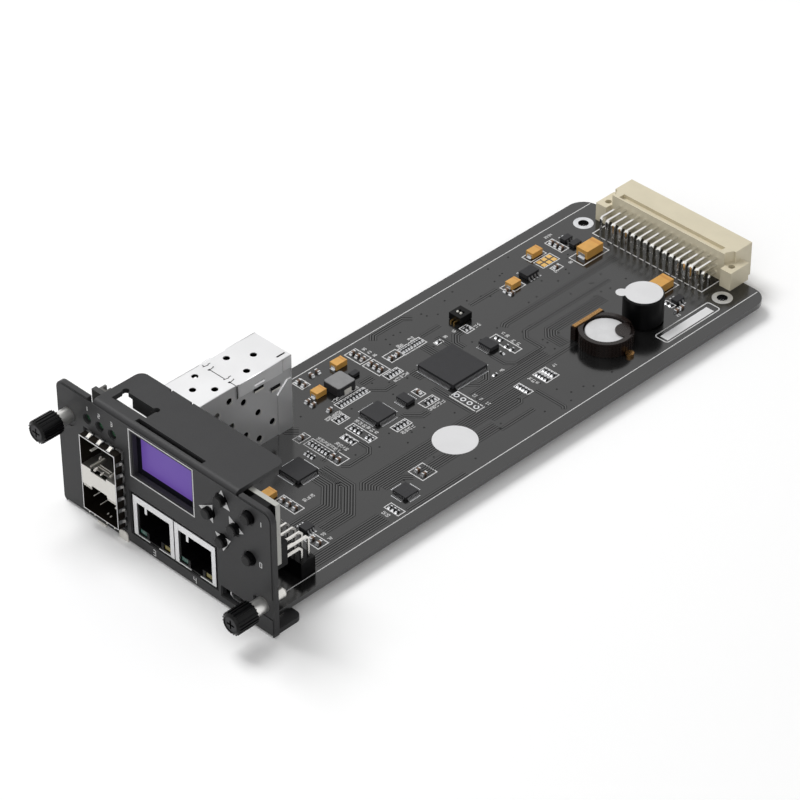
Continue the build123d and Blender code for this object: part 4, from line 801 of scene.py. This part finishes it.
rng = np.random.default_rng(7)
scatter = rng.uniform((11.5, 60.0), (74.0, 186.0), (150, 2))[:, None]
lows, highs = boxes_of((*CHIPS, *CHIP_PARTS, "tantalum_capacitors", "buzzer", "cell_holder", "cage_cover",
                        "cage_body", "dip_switch", "power_inductor", "inspection_sticker"))
under_parts = (scatter > lows[:, :2] - KEEP_OFF) & (scatter < highs[:, :2] + KEEP_OFF)
via_spots = scatter[~under_parts.all(axis=2).any(axis=1), 0]
vias = [ring_pad(spot, 0.14, 0.3, BOARD_TOP - SUNK, BOARD_TOP + 0.03, 10) for spot in via_spots]
piece("vias", *joined(vias), bare_tone, "board")

pads = [ring_pad(spot, 0.48, 0.9, BOARD_TOP - SUNK, BOARD_TOP + PAD_H, 20) for spot in OPEN_HOLES]
for low, high in ((BOARD_TOP - SUNK, BOARD_TOP + PAD_H), (BOARD_LOW - PAD_H, BOARD_LOW + SUNK)):
    pads += [ring_pad(spot, 1.62, 3.1, low, high, 40) for spot in SCREW_HOLES]
piece("tinned_pads", *joined(pads), solder, "nickel")
# Painted shade: a black disc lies over the top of each open hole.
holes = [disc(spot, 0.47, BOARD_TOP - SUNK, BOARD_TOP + GAP_H) for spot in OPEN_HOLES]
piece("open_hole_shades", *joined(holes), black_plastic, "black_plastic")
gilt = np.array([(x, y, BOARD_TOP) for y in (168.0, 170.1, 172.2) for x in (20.2, 22.2)])
piece("gilt_pads", *blocks(gilt - (0.75, 0.8, SUNK), gilt + (0.75, 0.8, 0.06)), gold, "gold")
print("vias:", len(via_spots))

# %% [markdown]
# Chip parts have tinned ends that wrap over the body, and stand on solder. The CAD solid of each
# part gives its box: two caps cover a good fifth of its length each, a hair larger than the body,
# and a wedge of solder slopes from each cap to the board.

# %% Tinned ends and solder wedges
CAP_SHARE = 0.22
SKIN = 0.02
WEDGE_REACH = 0.35
WEDGE_RISE = 0.6
WEDGE_SIDE = 0.08
BED = 0.005


def end_caps(lows, highs):
    """Low and high corners of both caps of each box, at the ends of its longer side."""
    size = highs - lows
    caps_low, caps_high = [], []
    for end in (0, 1):
        low, high = lows - SKIN, highs + SKIN
        for axis in (0, 1):
            long_way = size[:, axis] > size[:, 1 - axis]
            cut = size[:, axis] * CAP_SHARE
            if end == 0:
                high[:, axis] = np.where(long_way, lows[:, axis] + cut, high[:, axis])
            else:
                low[:, axis] = np.where(long_way, highs[:, axis] - cut, low[:, axis])
        caps_low.append(low)
        caps_high.append(high)
    return np.vstack(caps_low), np.vstack(caps_high)


def flat_cross(a, b):
    """How far b turns to the left of a: positive where it does, for flat vectors."""
    return a[..., 0] * b[..., 1] - a[..., 1] * b[..., 0]


def wedges(lows, highs):
    """A sloping wedge out of each end: a triangle in the long direction, a little wider than the part."""
    size = highs - lows
    along_x = (size[:, 0] > size[:, 1])[:, None]
    middle = (lows + highs)[:, :2] / 2
    half_long = size[:, :2].max(axis=1)[:, None] / 2
    half_wide = size[:, :2].min(axis=1)[:, None] / 2 + WEDGE_SIDE
    bottom = np.full((len(lows), 1), BOARD_TOP - BED)
    crest = lows[:, 2:] + size[:, 2:] * WEDGE_RISE
    quad = np.array([[0, 1, 2, 3], [0, 4, 5, 1], [4, 3, 2, 5], [0, 3, 4, 4], [1, 5, 2, 2]])
    parts = []
    for sign in (-1, 1):
        out = np.where(along_x, (sign, 0), (0, sign))
        side = np.where(along_x, (0, 1), (1, 0)) * half_wide
        root = middle + out * half_long
        tip = root + out * WEDGE_REACH
        corners = ((root - side, bottom), (root + side, bottom), (tip + side, bottom),
                   (tip - side, bottom), (root - side, crest), (root + side, crest))
        points = np.stack([np.hstack(flat_and_height) for flat_and_height in corners], axis=1)
        faces = 6 * np.arange(len(lows))[:, None, None] + quad[None]
        turns_left = flat_cross(out, side)[:, None, None] > 0
        faces = np.where(turns_left, faces, faces[:, :, ::-1])
        parts.append((points.reshape(-1, 3), faces.reshape(-1, 4)))
    return parts


def triangulated(points, faces):
    """Faces as triangles, without those that a doubled corner makes empty."""
    split = np.vstack([faces[:, [0, 1, 2]], faces[:, [0, 2, 3]]])
    real = (split[:, 0] != split[:, 1]) & (split[:, 1] != split[:, 2]) & (split[:, 2] != split[:, 0])
    return points, split[real]


part_low, part_high = boxes_of(CHIP_PARTS)
caps_low, caps_high = end_caps(part_low, part_high)
caps_low[:, 2] = BOARD_TOP
piece("tinned_ends", *blocks(caps_low, caps_high), solder, "nickel")
piece("solder_wedges", *triangulated(*joined(wedges(part_low, part_high))), solder, "nickel")
print("caps:", len(caps_low))

# %% [markdown]
# A tantalum capacitor has a flat tinned strap up each end, with a foot on the board, and a slightly
# darker stripe on top that marks one pole.

# %% Tantalum straps and stripes
STRAP_T = 0.14
FOOT_L = 0.5
FOOT_T = 0.12
lows, highs = solid_boxes("tantalum_capacitors")
straps_low, straps_high = [], []
for low, high in zip(lows, highs):
    inset = (high[0] - low[0]) * 0.2
    strap_top = low[2] + (high[2] - low[2]) * 0.55
    for end, out in ((low[1], -1), (high[1], 1)):
        for reach, bottom, top in ((STRAP_T, BOARD_TOP, strap_top),
                                   (STRAP_T + FOOT_L, BOARD_TOP - BED, BOARD_TOP + FOOT_T)):
            y0, y1 = sorted((end, end + out * reach))
            straps_low.append((low[0] + inset, y0, bottom))
            straps_high.append((high[0] - inset, y1, top))
piece("tantalum_straps", *blocks(straps_low, straps_high), solder, "nickel")
stripe = grained("tantalum_stripe", (190, 134, 60), 0.42, grain=0.2, depth=0.004)
length = highs[:, 1] - lows[:, 1]
stripes_low = np.column_stack([lows[:, 0], highs[:, 1] - length * 0.24, highs[:, 2] - SUNK])
stripes_high = np.column_stack([highs[:, 0], highs[:, 1] - length * 0.1, highs[:, 2] + GAP_H])
piece("tantalum_stripes", *blocks(stripes_low, stripes_high), stripe, "tantalum")
print("straps:", len(straps_low))

# %% [markdown]
# Every chip lead stands on a tinned pad that reaches a little beyond its toe. The pad lies on the
# side away from the chip, so each lead first looks for the chip that it belongs to.

# %% Pads under the chip leads
PAD_REACH = 0.32
PAD_SIDE = 0.04
chip_low, chip_high = boxes_of(CHIPS)
foot_low, foot_high = boxes_of(("processor_leads", "small_chip_leads"))


def toe_pads(lows, highs):
    """Low and high corners of a pad at each lead's toe: it starts half way along the lead and ends
    beyond it, on the side given by the sign of lead centre minus chip centre on the lead's long axis."""
    middle = (lows + highs) / 2
    flat = middle[:, None, :2]
    near = (flat > chip_low[:, :2] - 2) & (flat < chip_high[:, :2] + 2)
    owner = near.all(axis=2).argmax(axis=1)
    outwards = middle - ((chip_low + chip_high) / 2)[owner]
    gap = np.maximum(chip_low[owner] - middle, middle - chip_high[owner])[:, :2]
    axis = gap.argmax(axis=1)
    pad_low, pad_high = lows - PAD_SIDE, highs + PAD_SIDE
    each = np.arange(len(lows))
    plus = outwards[each, axis] > 0
    pad_low[each, axis] = np.where(plus, middle[each, axis], lows[each, axis] - PAD_REACH)
    pad_high[each, axis] = np.where(plus, highs[each, axis] + PAD_REACH, middle[each, axis])
    pad_low[:, 2] = BOARD_TOP - SUNK
    pad_high[:, 2] = BOARD_TOP + 0.07
    return pad_low, pad_high


piece("lead_pads", *blocks(*toe_pads(foot_low, foot_high)), solder, "nickel")
print("lead pads:", len(foot_low))

# %% [markdown]
# Every chip carries a small dimple that marks its first leg. It is a shallow disc, glossier than
# the resin round it.

# %% Chip dimples
dimple_finish = grained("chip_dimple", (34, 34, 36), 0.45, grain=0.2, depth=0.002, gleam=0.25)
dimples = []
for low, high in zip(chip_low, chip_high):
    radius = min(0.55, (high - low)[:2].min() * 0.08)
    spot = (low[0] + 2.2 * radius, high[1] - 2.2 * radius)
    dimples.append(disc(spot, radius, high[2] - SUNK, high[2] + 0.006, 20))
piece("chip_dimples", *joined(dimples), dimple_finish, "chip_black")
print("dimples:", len(dimples))

# %% [markdown]
# The panel's printing: a fine frame round the display, a triangle behind each arrow key, and a
# plain number beside every port and lamp. It lies on the film, a few hundredths proud.

# %% Panel printing
film_y = float(node_box("panel_overlay")[0][1])


def upright(points):
    """Turn flat print, drawn in (x, z), onto the panel's face: y is the film's less the height."""
    return np.column_stack([points[:, 0], film_y - points[:, 2], points[:, 1]])


def panel_strip(path, width):
    """A strip on the panel's film."""
    points, faces = strip(path, width, -SUNK, INK_H)
    return upright(points), faces


def triangle(apex, base_a, base_b):
    """A flat triangle as a closed prism of the ink's thickness."""
    flat = np.array([apex, base_a, base_b], float)
    flat = flat if flat_cross(flat[1] - flat[0], flat[2] - flat[0]) > 0 else flat[::-1]
    points = np.vstack([np.column_stack([flat, np.full(3, z)]) for z in (-SUNK, INK_H)])
    faces = np.array([[0, 2, 1, 1], [3, 4, 5, 5], [0, 1, 4, 3], [1, 2, 5, 4], [2, 0, 3, 5]])
    return upright(points), faces


panel_marks = [
    panel_strip(rectangle(29.1, 54.0, 24.3, 39.85), 0.35),
    triangle((65.0, 39.4), (61.95, 34.1), (68.05, 34.1)),
    triangle((56.0, 29.4), (61.3, 26.35), (61.3, 32.45)),
    triangle((73.0, 29.4), (67.6, 26.35), (67.6, 32.45)),
    triangle((64.9, 19.1), (61.95, 24.1), (67.95, 24.1)),
]
# Each label is its number, its place and its height.
labels = [
    (1, 8.6, 24.2, 1.8), (2, 8.6, 10.6, 1.8), (3, 36.6, 1.4, 1.8), (4, 52.6, 1.4, 1.8), (5, 68.6, 1.1, 1.5),
    (1, 12.0, 37.0, 1.3), (2, 17.0, 37.0, 1.3), (3, 22.0, 37.0, 1.3), (1, 79.0, 35.6, 1.5),
    (0, 78.8, 21.9, 1.5),
]
for number, x, z, height in labels:
    panel_marks += [panel_strip(ends, 0.28) for ends in number_strokes(number, (x, z), height)]
piece("panel_printing", *joined([triangulated(*mark) for mark in panel_marks]), ink, "label")
print("panel marks:", len(panel_marks))

# %% [markdown]
# The blank paper label beside the buzzer is a thin strip with square corners.

# %% Blank label
label_low = (70.3, 165.3, BOARD_TOP - SUNK)
label_high = (73.2, 185.5, BOARD_TOP + 0.05)
piece("blank_label", *blocks([label_low], [label_high]), label_paper, "label")

# %% [markdown]
# Pins that pass through the board end in a cone of solder below it. A cone is a turned profile
# that leaves the pad steeply and hugs the pin.

# %% Solder cones below the board
REAR_CONE = [(0.85, -0.03), (0.55, -0.25), (0.42, -0.6), (0.32, -0.75), (0.32, SUNK), (0.85, SUNK)]
JACK_CONE = [(0.6, -0.03), (0.3, -0.5), (0.12, -0.8), (0.05, SUNK), (0.6, SUNK)]


def cone(spot, profile, sides):
    """A turned profile whose heights are measured from the board's lower face."""
    return turned(spot, np.array(profile) + (0, BOARD_LOW), sides)


lows, highs = solid_boxes("rear_pins")
rear_spots = np.column_stack([(lows[:, 0] + highs[:, 0]) / 2, lows[:, 1] + 0.3])
jack_xs = [x for x in np.arange(29.0, 66.0, 1.27) if 31 < x < 45 or 50 < x < 64]
cones = [cone(spot, REAR_CONE, 10) for spot in rear_spots]
cones += [cone((x, y), JACK_CONE, 8) for x in jack_xs for y in (14.6, 17.1)]
piece("pin_solder", *joined(cones), solder, "nickel")
print("cones:", len(cones))

# %% [markdown]
# The underside has tracks too: long slanting runs between the rear connector and the chips, each
# ending in a via, and a few square test pads in rows.

# %% Tracks and test pads below the board
UNDER_PITCH = 0.6
UNDER_H = 0.05
TEST_PAD = 1.1
under_bundles = [
    ([(18.0, 196.0), (18.0, 160.0), (34.0, 144.0), (34.0, 96.0)], 10, 1),
    ([(66.0, 196.0), (66.0, 150.0), (56.0, 140.0), (56.0, 70.0), (44.0, 58.0), (44.0, 24.0)], 12, -1),
    ([(30.0, 186.0), (30.0, 170.0), (44.0, 156.0), (44.0, 112.0)], 8, 1),
    ([(20.0, 120.0), (20.0, 70.0), (32.0, 58.0), (32.0, 26.0)], 8, 1),
]
under_tracks, under_vias = [], []
for path, count, side in under_bundles:
    for line in bundle(path, count, side * UNDER_PITCH):
        under_tracks.append(strip(line, TRACK_W, BOARD_LOW - TRACK_H, BOARD_LOW + SUNK))
        for end in (line[0], line[-1]):
            under_vias.append(ring_pad(end, 0.12, 0.28, BOARD_LOW - UNDER_H, BOARD_LOW + SUNK, 8))
piece("under_tracks", *joined(under_tracks), copper_tone, "board")
piece("under_vias", *joined(under_vias), solder, "nickel")
test_spots = np.array([(x, y, BOARD_LOW) for y in (66.0, 108.0, 132.0) for x in np.arange(62.0, 73.0, 2.2)])
test_pads = blocks(test_spots - (0, 0, UNDER_H), test_spots + (TEST_PAD, TEST_PAD, SUNK))
piece("test_pads", *test_pads, solder, "nickel")
print("tracks below:", len(under_tracks), "test pads:", len(test_spots))

# %% [markdown]
# The coin cell's holder is a moulded cup with fine upright ribs round its wall, and a short clip
# at the rear corner that keeps the cell down. The ribs are strips that run outwards on spokes; the
# clip is a round plate whose outer points are pulled back inside the cup.

# %% Cell holder ribs and clip
holder_low, holder_high = node_box("cell_holder")
CUP_R = (holder_high[1] - holder_low[1]) / 2
cup = np.array([holder_high[0] - CUP_R, (holder_low[1] + holder_high[1]) / 2])
ribs = []
for angle in np.radians(np.arange(-112, 76, 8.0)):
    spoke = np.array([math.cos(angle), math.sin(angle)])
    path = [cup + spoke * (CUP_R - 0.05), cup + spoke * (CUP_R + 0.18)]
    ribs.append(strip(path, 0.5, BOARD_TOP + 0.2, holder_high[2] - 0.7))
piece("holder_ribs", *joined(ribs), holder_brown, "black_plastic")
print("ribs:", len(ribs), "cup centre", np.round(cup, 1))


def plate(outline, low, high):
    """A flat plate from an outline that runs counterclockwise: two fans round its middle and a wall."""
    outline = np.asarray(outline, float)
    count = len(outline)
    middle = outline.mean(axis=0)
    points = np.vstack([
        np.column_stack([outline, np.full(count, low)]), np.column_stack([outline, np.full(count, high)]),
        [[*middle, low], [*middle, high]],
    ])
    k = np.arange(count)
    after = (k + 1) % count
    walls = [np.column_stack([k, after, count + after]), np.column_stack([k, count + after, count + k])]
    fans = [np.column_stack([after, k, np.full(count, 2 * count)]),
            np.column_stack([count + k, count + after, np.full(count, 2 * count + 1)])]
    return points, np.vstack(walls + fans)


CLIP_R = 3.5
CLIP_FROM_CUP = (4.5, 4.1)
angle = np.linspace(0, 2 * np.pi, 40, endpoint=False)
clip = CLIP_FROM_CUP + CLIP_R * np.column_stack([np.cos(angle), np.sin(angle)])
reach = np.linalg.norm(clip, axis=1, keepdims=True)
clip = cup + clip * np.minimum(1, (CUP_R - 0.9) / reach)
cell_top = float(node_box("coin_cell")[1][2])
piece("holder_clip", *plate(clip, cell_top + 0.02, cell_top + 0.35), holder_brown, "black_plastic")

# %% [markdown]
# Beside the lower bay a small tongue with a rounded top stands on the panel's face: it touches the
# frame when the card is pushed home. Its outline is drawn flat and turned upright like the print.

# %% Grounding tongue
tongue_arc = np.linspace(0, np.pi, 9)
tongue = np.vstack([
    [(23.1, 0.1), (26.6, 0.1)],
    np.column_stack([24.85 + 1.75 * np.cos(tongue_arc), 2.1 + 1.05 * np.sin(tongue_arc)]),
])
points, faces = plate(tongue, -0.05, 0.3)
piece("grounding_tongue", upright(points), faces, tin_with_highlight, "steel")

# %% [markdown]
# Round the mouth of the cage, each spring finger ends in a bent lip that slopes down to the front,
# in the bright tin finish with its painted highlight; the lips on the side take its darker copy, which
# is painted shade. Inside the bays, bent tabs and rails in the bright finish catch a little light: a
# tab hangs from the top, a rail and a shelf cross each floor, and two latch tabs stand behind the
# notch of the middle channel.

# %% Lips and tabs of the module bays
def sloped(low, high, axis, rise):
    """A block whose far side on one axis climbs by the rise from its front to its rear end."""
    points, faces = blocks([low], [high])
    share = (points[:, 1] - low[1]) / (high[1] - low[1])
    outer = points[:, axis] > (low[axis] + high[axis]) / 2
    points[:, axis] += np.where(outer, rise * share, 0)
    return points, faces


lips, side_lips = [], []
finger_low, finger_high = solid_boxes("spring_fingers")
for low, high in zip(finger_low, finger_high):
    x, z = (low[0] + high[0]) / 2, (low[2] + high[2]) / 2
    if low[2] > cage_high[2] - 0.2:
        lips.append(sloped((x - 0.5, -2.0, low[2]), (x + 0.6, -0.9, low[2] + 0.16), 2, 0.62))
    elif x > cage_high[0]:
        side_lips.append(sloped((low[0], -1.35, z - 0.4), (low[0] + 0.2, -0.55, z + 0.4), 0, 0.5))
piece("finger_lips", *joined(lips), tin_with_highlight, "steel")
piece("side_finger_lips", *joined(side_lips), tin_with_painted_shade, "steel")

UPPER_FLOOR = 20.13
# Each tab of the bays is its low corner, its high corner and its rise.
bay_tabs = [
    ((14.9, -2.1, 25.9), (15.7, 3.2, 26.1), 0.2),
    ((14.45, -1.9, UPPER_FLOOR), (14.75, 3.0, UPPER_FLOOR + 0.3), 0.1),
    ((13.7, 1.8, UPPER_FLOOR), (14.2, 2.4, UPPER_FLOOR + 0.5), 0.3),
    ((15.9, -0.5, UPPER_FLOOR), (20.6, -0.35, UPPER_FLOOR + 0.12), 0.05),
    ((15.9, 0.25, UPPER_FLOOR), (20.6, 0.35, UPPER_FLOOR + 0.16), 0.05),
    ((16.2, -2.4, UPPER_FLOOR - 0.2), (16.9, -1.2, UPPER_FLOOR + 0.1), 0.4),
    ((18.9, -2.4, UPPER_FLOOR - 0.3), (19.3, -1.2, UPPER_FLOOR + 0.05), 0.2),
    ((21.4, -1.2, UPPER_FLOOR), (21.8, 0.8, UPPER_FLOOR + 0.3), 0.4),
    ((15.5, -2.3, 10.9), (15.75, 1.6, 11.05), 0.1),
    ((17.5, -1.9, 8.8), (17.7, 2.6, 8.9), 0.1),
    ((18.5, -0.6, BOARD_TOP), (18.8, 0.0, BOARD_TOP + 0.4), 0.2),
    ((20.0, -0.9, BOARD_TOP), (20.3, -0.3, BOARD_TOP + 0.4), 0.2),
    ((24.3, -2.4, 11.6), (25.1, -1.9, 11.85), 0.2),
]
bay_parts = [sloped(low, high, 2, rise) for low, high, rise in bay_tabs]
piece("bay_tabs", *joined(bay_parts), tin_with_highlight, "steel")

sill_xs = (13.4, 15.6, 20.5, 23.6)
rim_low = [(14.1, -0.4, 0.1), (12.1, -2.65, 13.2), (21.7, -2.65, 13.2)] + [(x, -2.6, 4.35) for x in sill_xs]
rim_high = [(17.6, -0.05, 0.75), (15.4, -2.4, 13.45), (25.1, -2.4, 13.45)]
rim_high += [(x + 0.4, -2.2, 4.7) for x in sill_xs]
piece("rim_tabs", *blocks(rim_low, rim_high), tin_with_highlight, "steel")
print("lips:", len(lips) + len(side_lips), "tabs:", len(bay_parts) + len(rim_low))

# %% [markdown]
# The seam across the cage's top is a real gap, but too fine to read as dark from a metre away. So a
# hair line of painted shadow is drawn along it, round each tongue and a little way down the side. The
# long openings on the side get the same treatment: a painted shadow above and a bent lip below in the
# bright tin finish. The round vents have a rolled rim whose upper side carries a painted highlight: a
# crescent strip in the wall's plane.

# %% Seam lines and side openings
HAIR = 0.24
seam_y = 41.35
seam_x = (12.1, 13.0, 15.2, 21.3, 23.3, 25.6)
top_z = cover_high[2]
side_x = cover_high[0]
# Vents are y and the drop from the top; openings are low and high y and low and high z.
side_vents = [
    (34.0, 6.4), (38.7, 3.9), (39.2, 12.7), (43.9, 7.0), (44.3, 18.6), (49.1, 13.2), (49.2, 22.3),
    (54.3, 19.1),
]
openings = [(47.7, 51.2, 24.05, 25.3), (54.0, 57.4, 20.95, 22.1)]


def shadow(steps, x, mirror=1, width=HAIR):
    """A hair line of shadow on the cage's top: its steps are taken from the seam at x."""
    path = np.array(steps) * (mirror, 1) + (x, seam_y)
    return strip(path, width, top_z - 0.05, top_z + 0.02)


shadow_lines = [shadow([(0, 0), (x1 - x0, 0)], x0) for x0, x1 in (seam_x[0:2], seam_x[2:4], seam_x[4:6])]
for x0, x1 in (seam_x[1:3], seam_x[3:5]):
    shadow_lines += [
        shadow([(-0.2, -0.5), (0, 0), (0.25, 1.1), (-0.1, 1.5), (0, 2.2)], x0),
        shadow([(0.2, -0.3), (0, 0), (-0.25, 1.6), (-0.6, 1.7)], x1),
        shadow([(-0.2, -0.5), (-0.2, 0.25)], x1, width=2 * HAIR),
    ]
shades = openings + [(seam_y, seam_y + 0.3, top_z - FLAP_DROP, top_z - 0.2)]
shades_low = [(side_x - 0.05, y0, z0) for y0, y1, z0, z1 in shades]
shades_high = [(side_x + 0.02, y1, z1) for y0, y1, z0, z1 in shades]
shadow_lines.append(blocks(shades_low, shades_high))
piece("cage_shadows", *joined(shadow_lines), black_plastic, "black_plastic")

lip_angle = np.radians(np.linspace(-100, 20, 9))
crescent = 1.08 * np.column_stack([np.cos(lip_angle), np.sin(lip_angle)])
vent_lip_highlights = []
# Painted highlight: a bright crescent strip on the upper side of each vent's rim.
for y, drop in side_vents:
    points, faces = strip(crescent + (y, top_z - drop), 0.16, -0.05, 0.03)
    vent_lip_highlights.append((np.column_stack([side_x + points[:, 2], points[:, 0], points[:, 1]]), faces))
piece("vent_lip_highlights", *joined(vent_lip_highlights), tin_with_highlight, "steel")
opening_lips = [
    sloped((side_x - 0.05, y0 + 0.2, z0 - 0.05), (side_x + 0.12, y1 - 0.1, z0 + 0.45), 0, 0.1)
    for y0, y1, z0, z1 in openings
]
piece("opening_lips", *joined(opening_lips), tin_with_highlight, "steel")
print("shadow lines:", len(shadow_lines))

# %% [markdown]
# The cage's long upper folds catch the light as one bright line each: a fine round rod lies along
# each fold and bulges out of it by less than a tenth of a millimetre.

# %% Bright fold lines
FOLD_R = 0.2
FOLD_IN = 0.12


def rod_along_y(x, z, y0, y1):
    """A round rod: a turned profile from y0 to y1, laid along y by swapping its height and y."""
    points, faces = turned((x, z), [(0.01, y0), (FOLD_R, y0), (FOLD_R, y1), (0.01, y1)], 10)
    return points[:, [0, 2, 1]], faces[:, ::-1]


folds = []
for x in (cage_low[0] + FOLD_IN, cage_high[0] - FOLD_IN):
    folds.append(rod_along_y(x, cage_high[2] - FOLD_IN, 0.5, cover_low[1] - 0.9))
for x in (cover_low[0] + FOLD_IN, cover_high[0] - FOLD_IN):
    folds.append(rod_along_y(x, cover_high[2] - FOLD_IN, cover_low[1] + 1.7, cover_high[1]))
piece("fold_lines", *joined(folds), steel, "steel", smooth=True)

# %% [markdown]
# The power inductor is a square block of dark ferrite with cut corners, a pale grey top plate and
# a bent metal terminal on each side. It stands for the CAD model's octagonal coil, in its place.

# %% Power inductor
HALF_X, HALF_Y, CUT = 3.25, 3.45, 0.45
TOP_T = 0.25
TOP_INSET = 0.15
coil_low, coil_high = node_box("power_inductor")
coil = (coil_low + coil_high) / 2


def cut_square(inset):
    """A rectangle round the coil's centre with its corners cut off, counterclockwise."""
    x, y = HALF_X - inset, HALF_Y - inset
    corners = [(x, -y + CUT), (x, y - CUT), (x - CUT, y), (-x + CUT, y),
               (-x, y - CUT), (-x, -y + CUT), (-x + CUT, -y), (x - CUT, -y)]
    return coil[:2] + np.array(corners)


block_top = coil_high[2] - TOP_T
inductor_block = plate(cut_square(0), coil_low[2], block_top)
inductor = piece("inductor_block", *inductor_block, chip_black, "chip_black")
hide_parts("power_inductor")
top_grey = grained("inductor_top_grey", (122, 122, 123), 0.55, grain=0.2, depth=0.004, vary=0.06, patch=2)
piece("inductor_top", *plate(cut_square(TOP_INSET), block_top, coil_high[2]), top_grey, "chip_black")
terminals = [sorted((side * (HALF_X - 0.1), side * (HALF_X + 0.25))) for side in (1, -1)]
foot = (coil[0], coil[1], coil_low[2])
terminals_low = np.add(foot, [(x0, -1.3, 0) for x0, x1 in terminals])
terminals_high = np.add(foot, [(x1, 1.3, 1.5) for x0, x1 in terminals])
piece("inductor_terminals", *blocks(terminals_low, terminals_high), tin_with_highlight, "nickel")

# %% [markdown]
# The floor is one plain sheet. It shows white to the camera but keeps the card's shadow: part of
# its colour is its own light, seen only by camera, glossy and transmission rays, and the rest is
# lit by the lamps.

# %% Floor
HALF_FLOOR = 3.0
floor_mesh = bpy.data.meshes.new("floor")
floor_corners = [(x * HALF_FLOOR, y * HALF_FLOOR, cad_low.z) for x, y in ((-1, -1), (1, -1), (1, 1), (-1, 1))]
floor_mesh.from_pydata(floor_corners, [], [(0, 1, 2, 3)])
floor = bpy.data.objects.new("floor", floor_mesh)
bpy.context.scene.collection.objects.link(floor)
floor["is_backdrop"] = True
floor_finish = bpy.data.materials.new("floor_white")
floor_finish.use_nodes = True
tree = floor_finish.node_tree
shader = tree.nodes["Principled BSDF"]
shader.inputs["Roughness"].default_value = 0.9


def seen_rays(tree):
    """1 for camera, glossy and transmission rays, which see the white studio, and 0 for diffuse ones."""
    rays = tree.nodes.new("ShaderNodeLightPath")
    value = rays.outputs["Is Camera Ray"]
    for name in ("Is Glossy Ray", "Is Transmission Ray"):
        value = either(tree, value, rays.outputs[name])
    return value


seen = seen_rays(tree)
tree.links.new(mapped(tree, seen, 0, 1, 0.8, 0.94), shader.inputs["Base Color"])
shader.inputs["Emission Color"].default_value = (1, 1, 1, 1)
tree.links.new(mapped(tree, seen, 0, 1, 0.0, 0.06), shader.inputs["Emission Strength"])
floor_mesh.materials.append(floor_finish)

# %% [markdown]
# The world gives an even light, and shows pure white to the camera and in reflections. One large
# soft lamp hangs high on the left, so that the card throws a short shadow to its right, and a weak
# one stands in front.

# %% Lamps and world
world = bpy.data.worlds.new("studio")
bpy.context.scene.world = world
world.use_nodes = True
tree = world.node_tree
background = tree.nodes["Background"]
background.inputs["Color"].default_value = (1, 1, 1, 1)
tree.links.new(mapped(tree, seen_rays(tree), 0, 1, 0.45, 1.0), background.inputs["Strength"])


def soft_lamp(name, at, towards, size, power):
    """A square lamp that faces a point."""
    light = bpy.data.lights.new(name, "AREA")
    light.size = size
    light.energy = power
    lamp_object = bpy.data.objects.new(name, light)
    bpy.context.scene.collection.objects.link(lamp_object)
    lamp_object.location = at
    lamp_object.rotation_euler = (Vector(towards) - Vector(at)).to_track_quat("-Z", "Y").to_euler()
    return lamp_object


soft_lamp("key", (-0.62, -0.05, 1.07), (0, 0, 0.01), 0.55, 9.4)
soft_lamp("fill", (0.5, -0.7, 0.6), (0, 0, 0.01), 0.8, 1.9)

bpy.context.scene.view_settings.view_transform = "Standard"

# %% Measure and finish
low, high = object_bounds()
print("pieces added:", len(made))
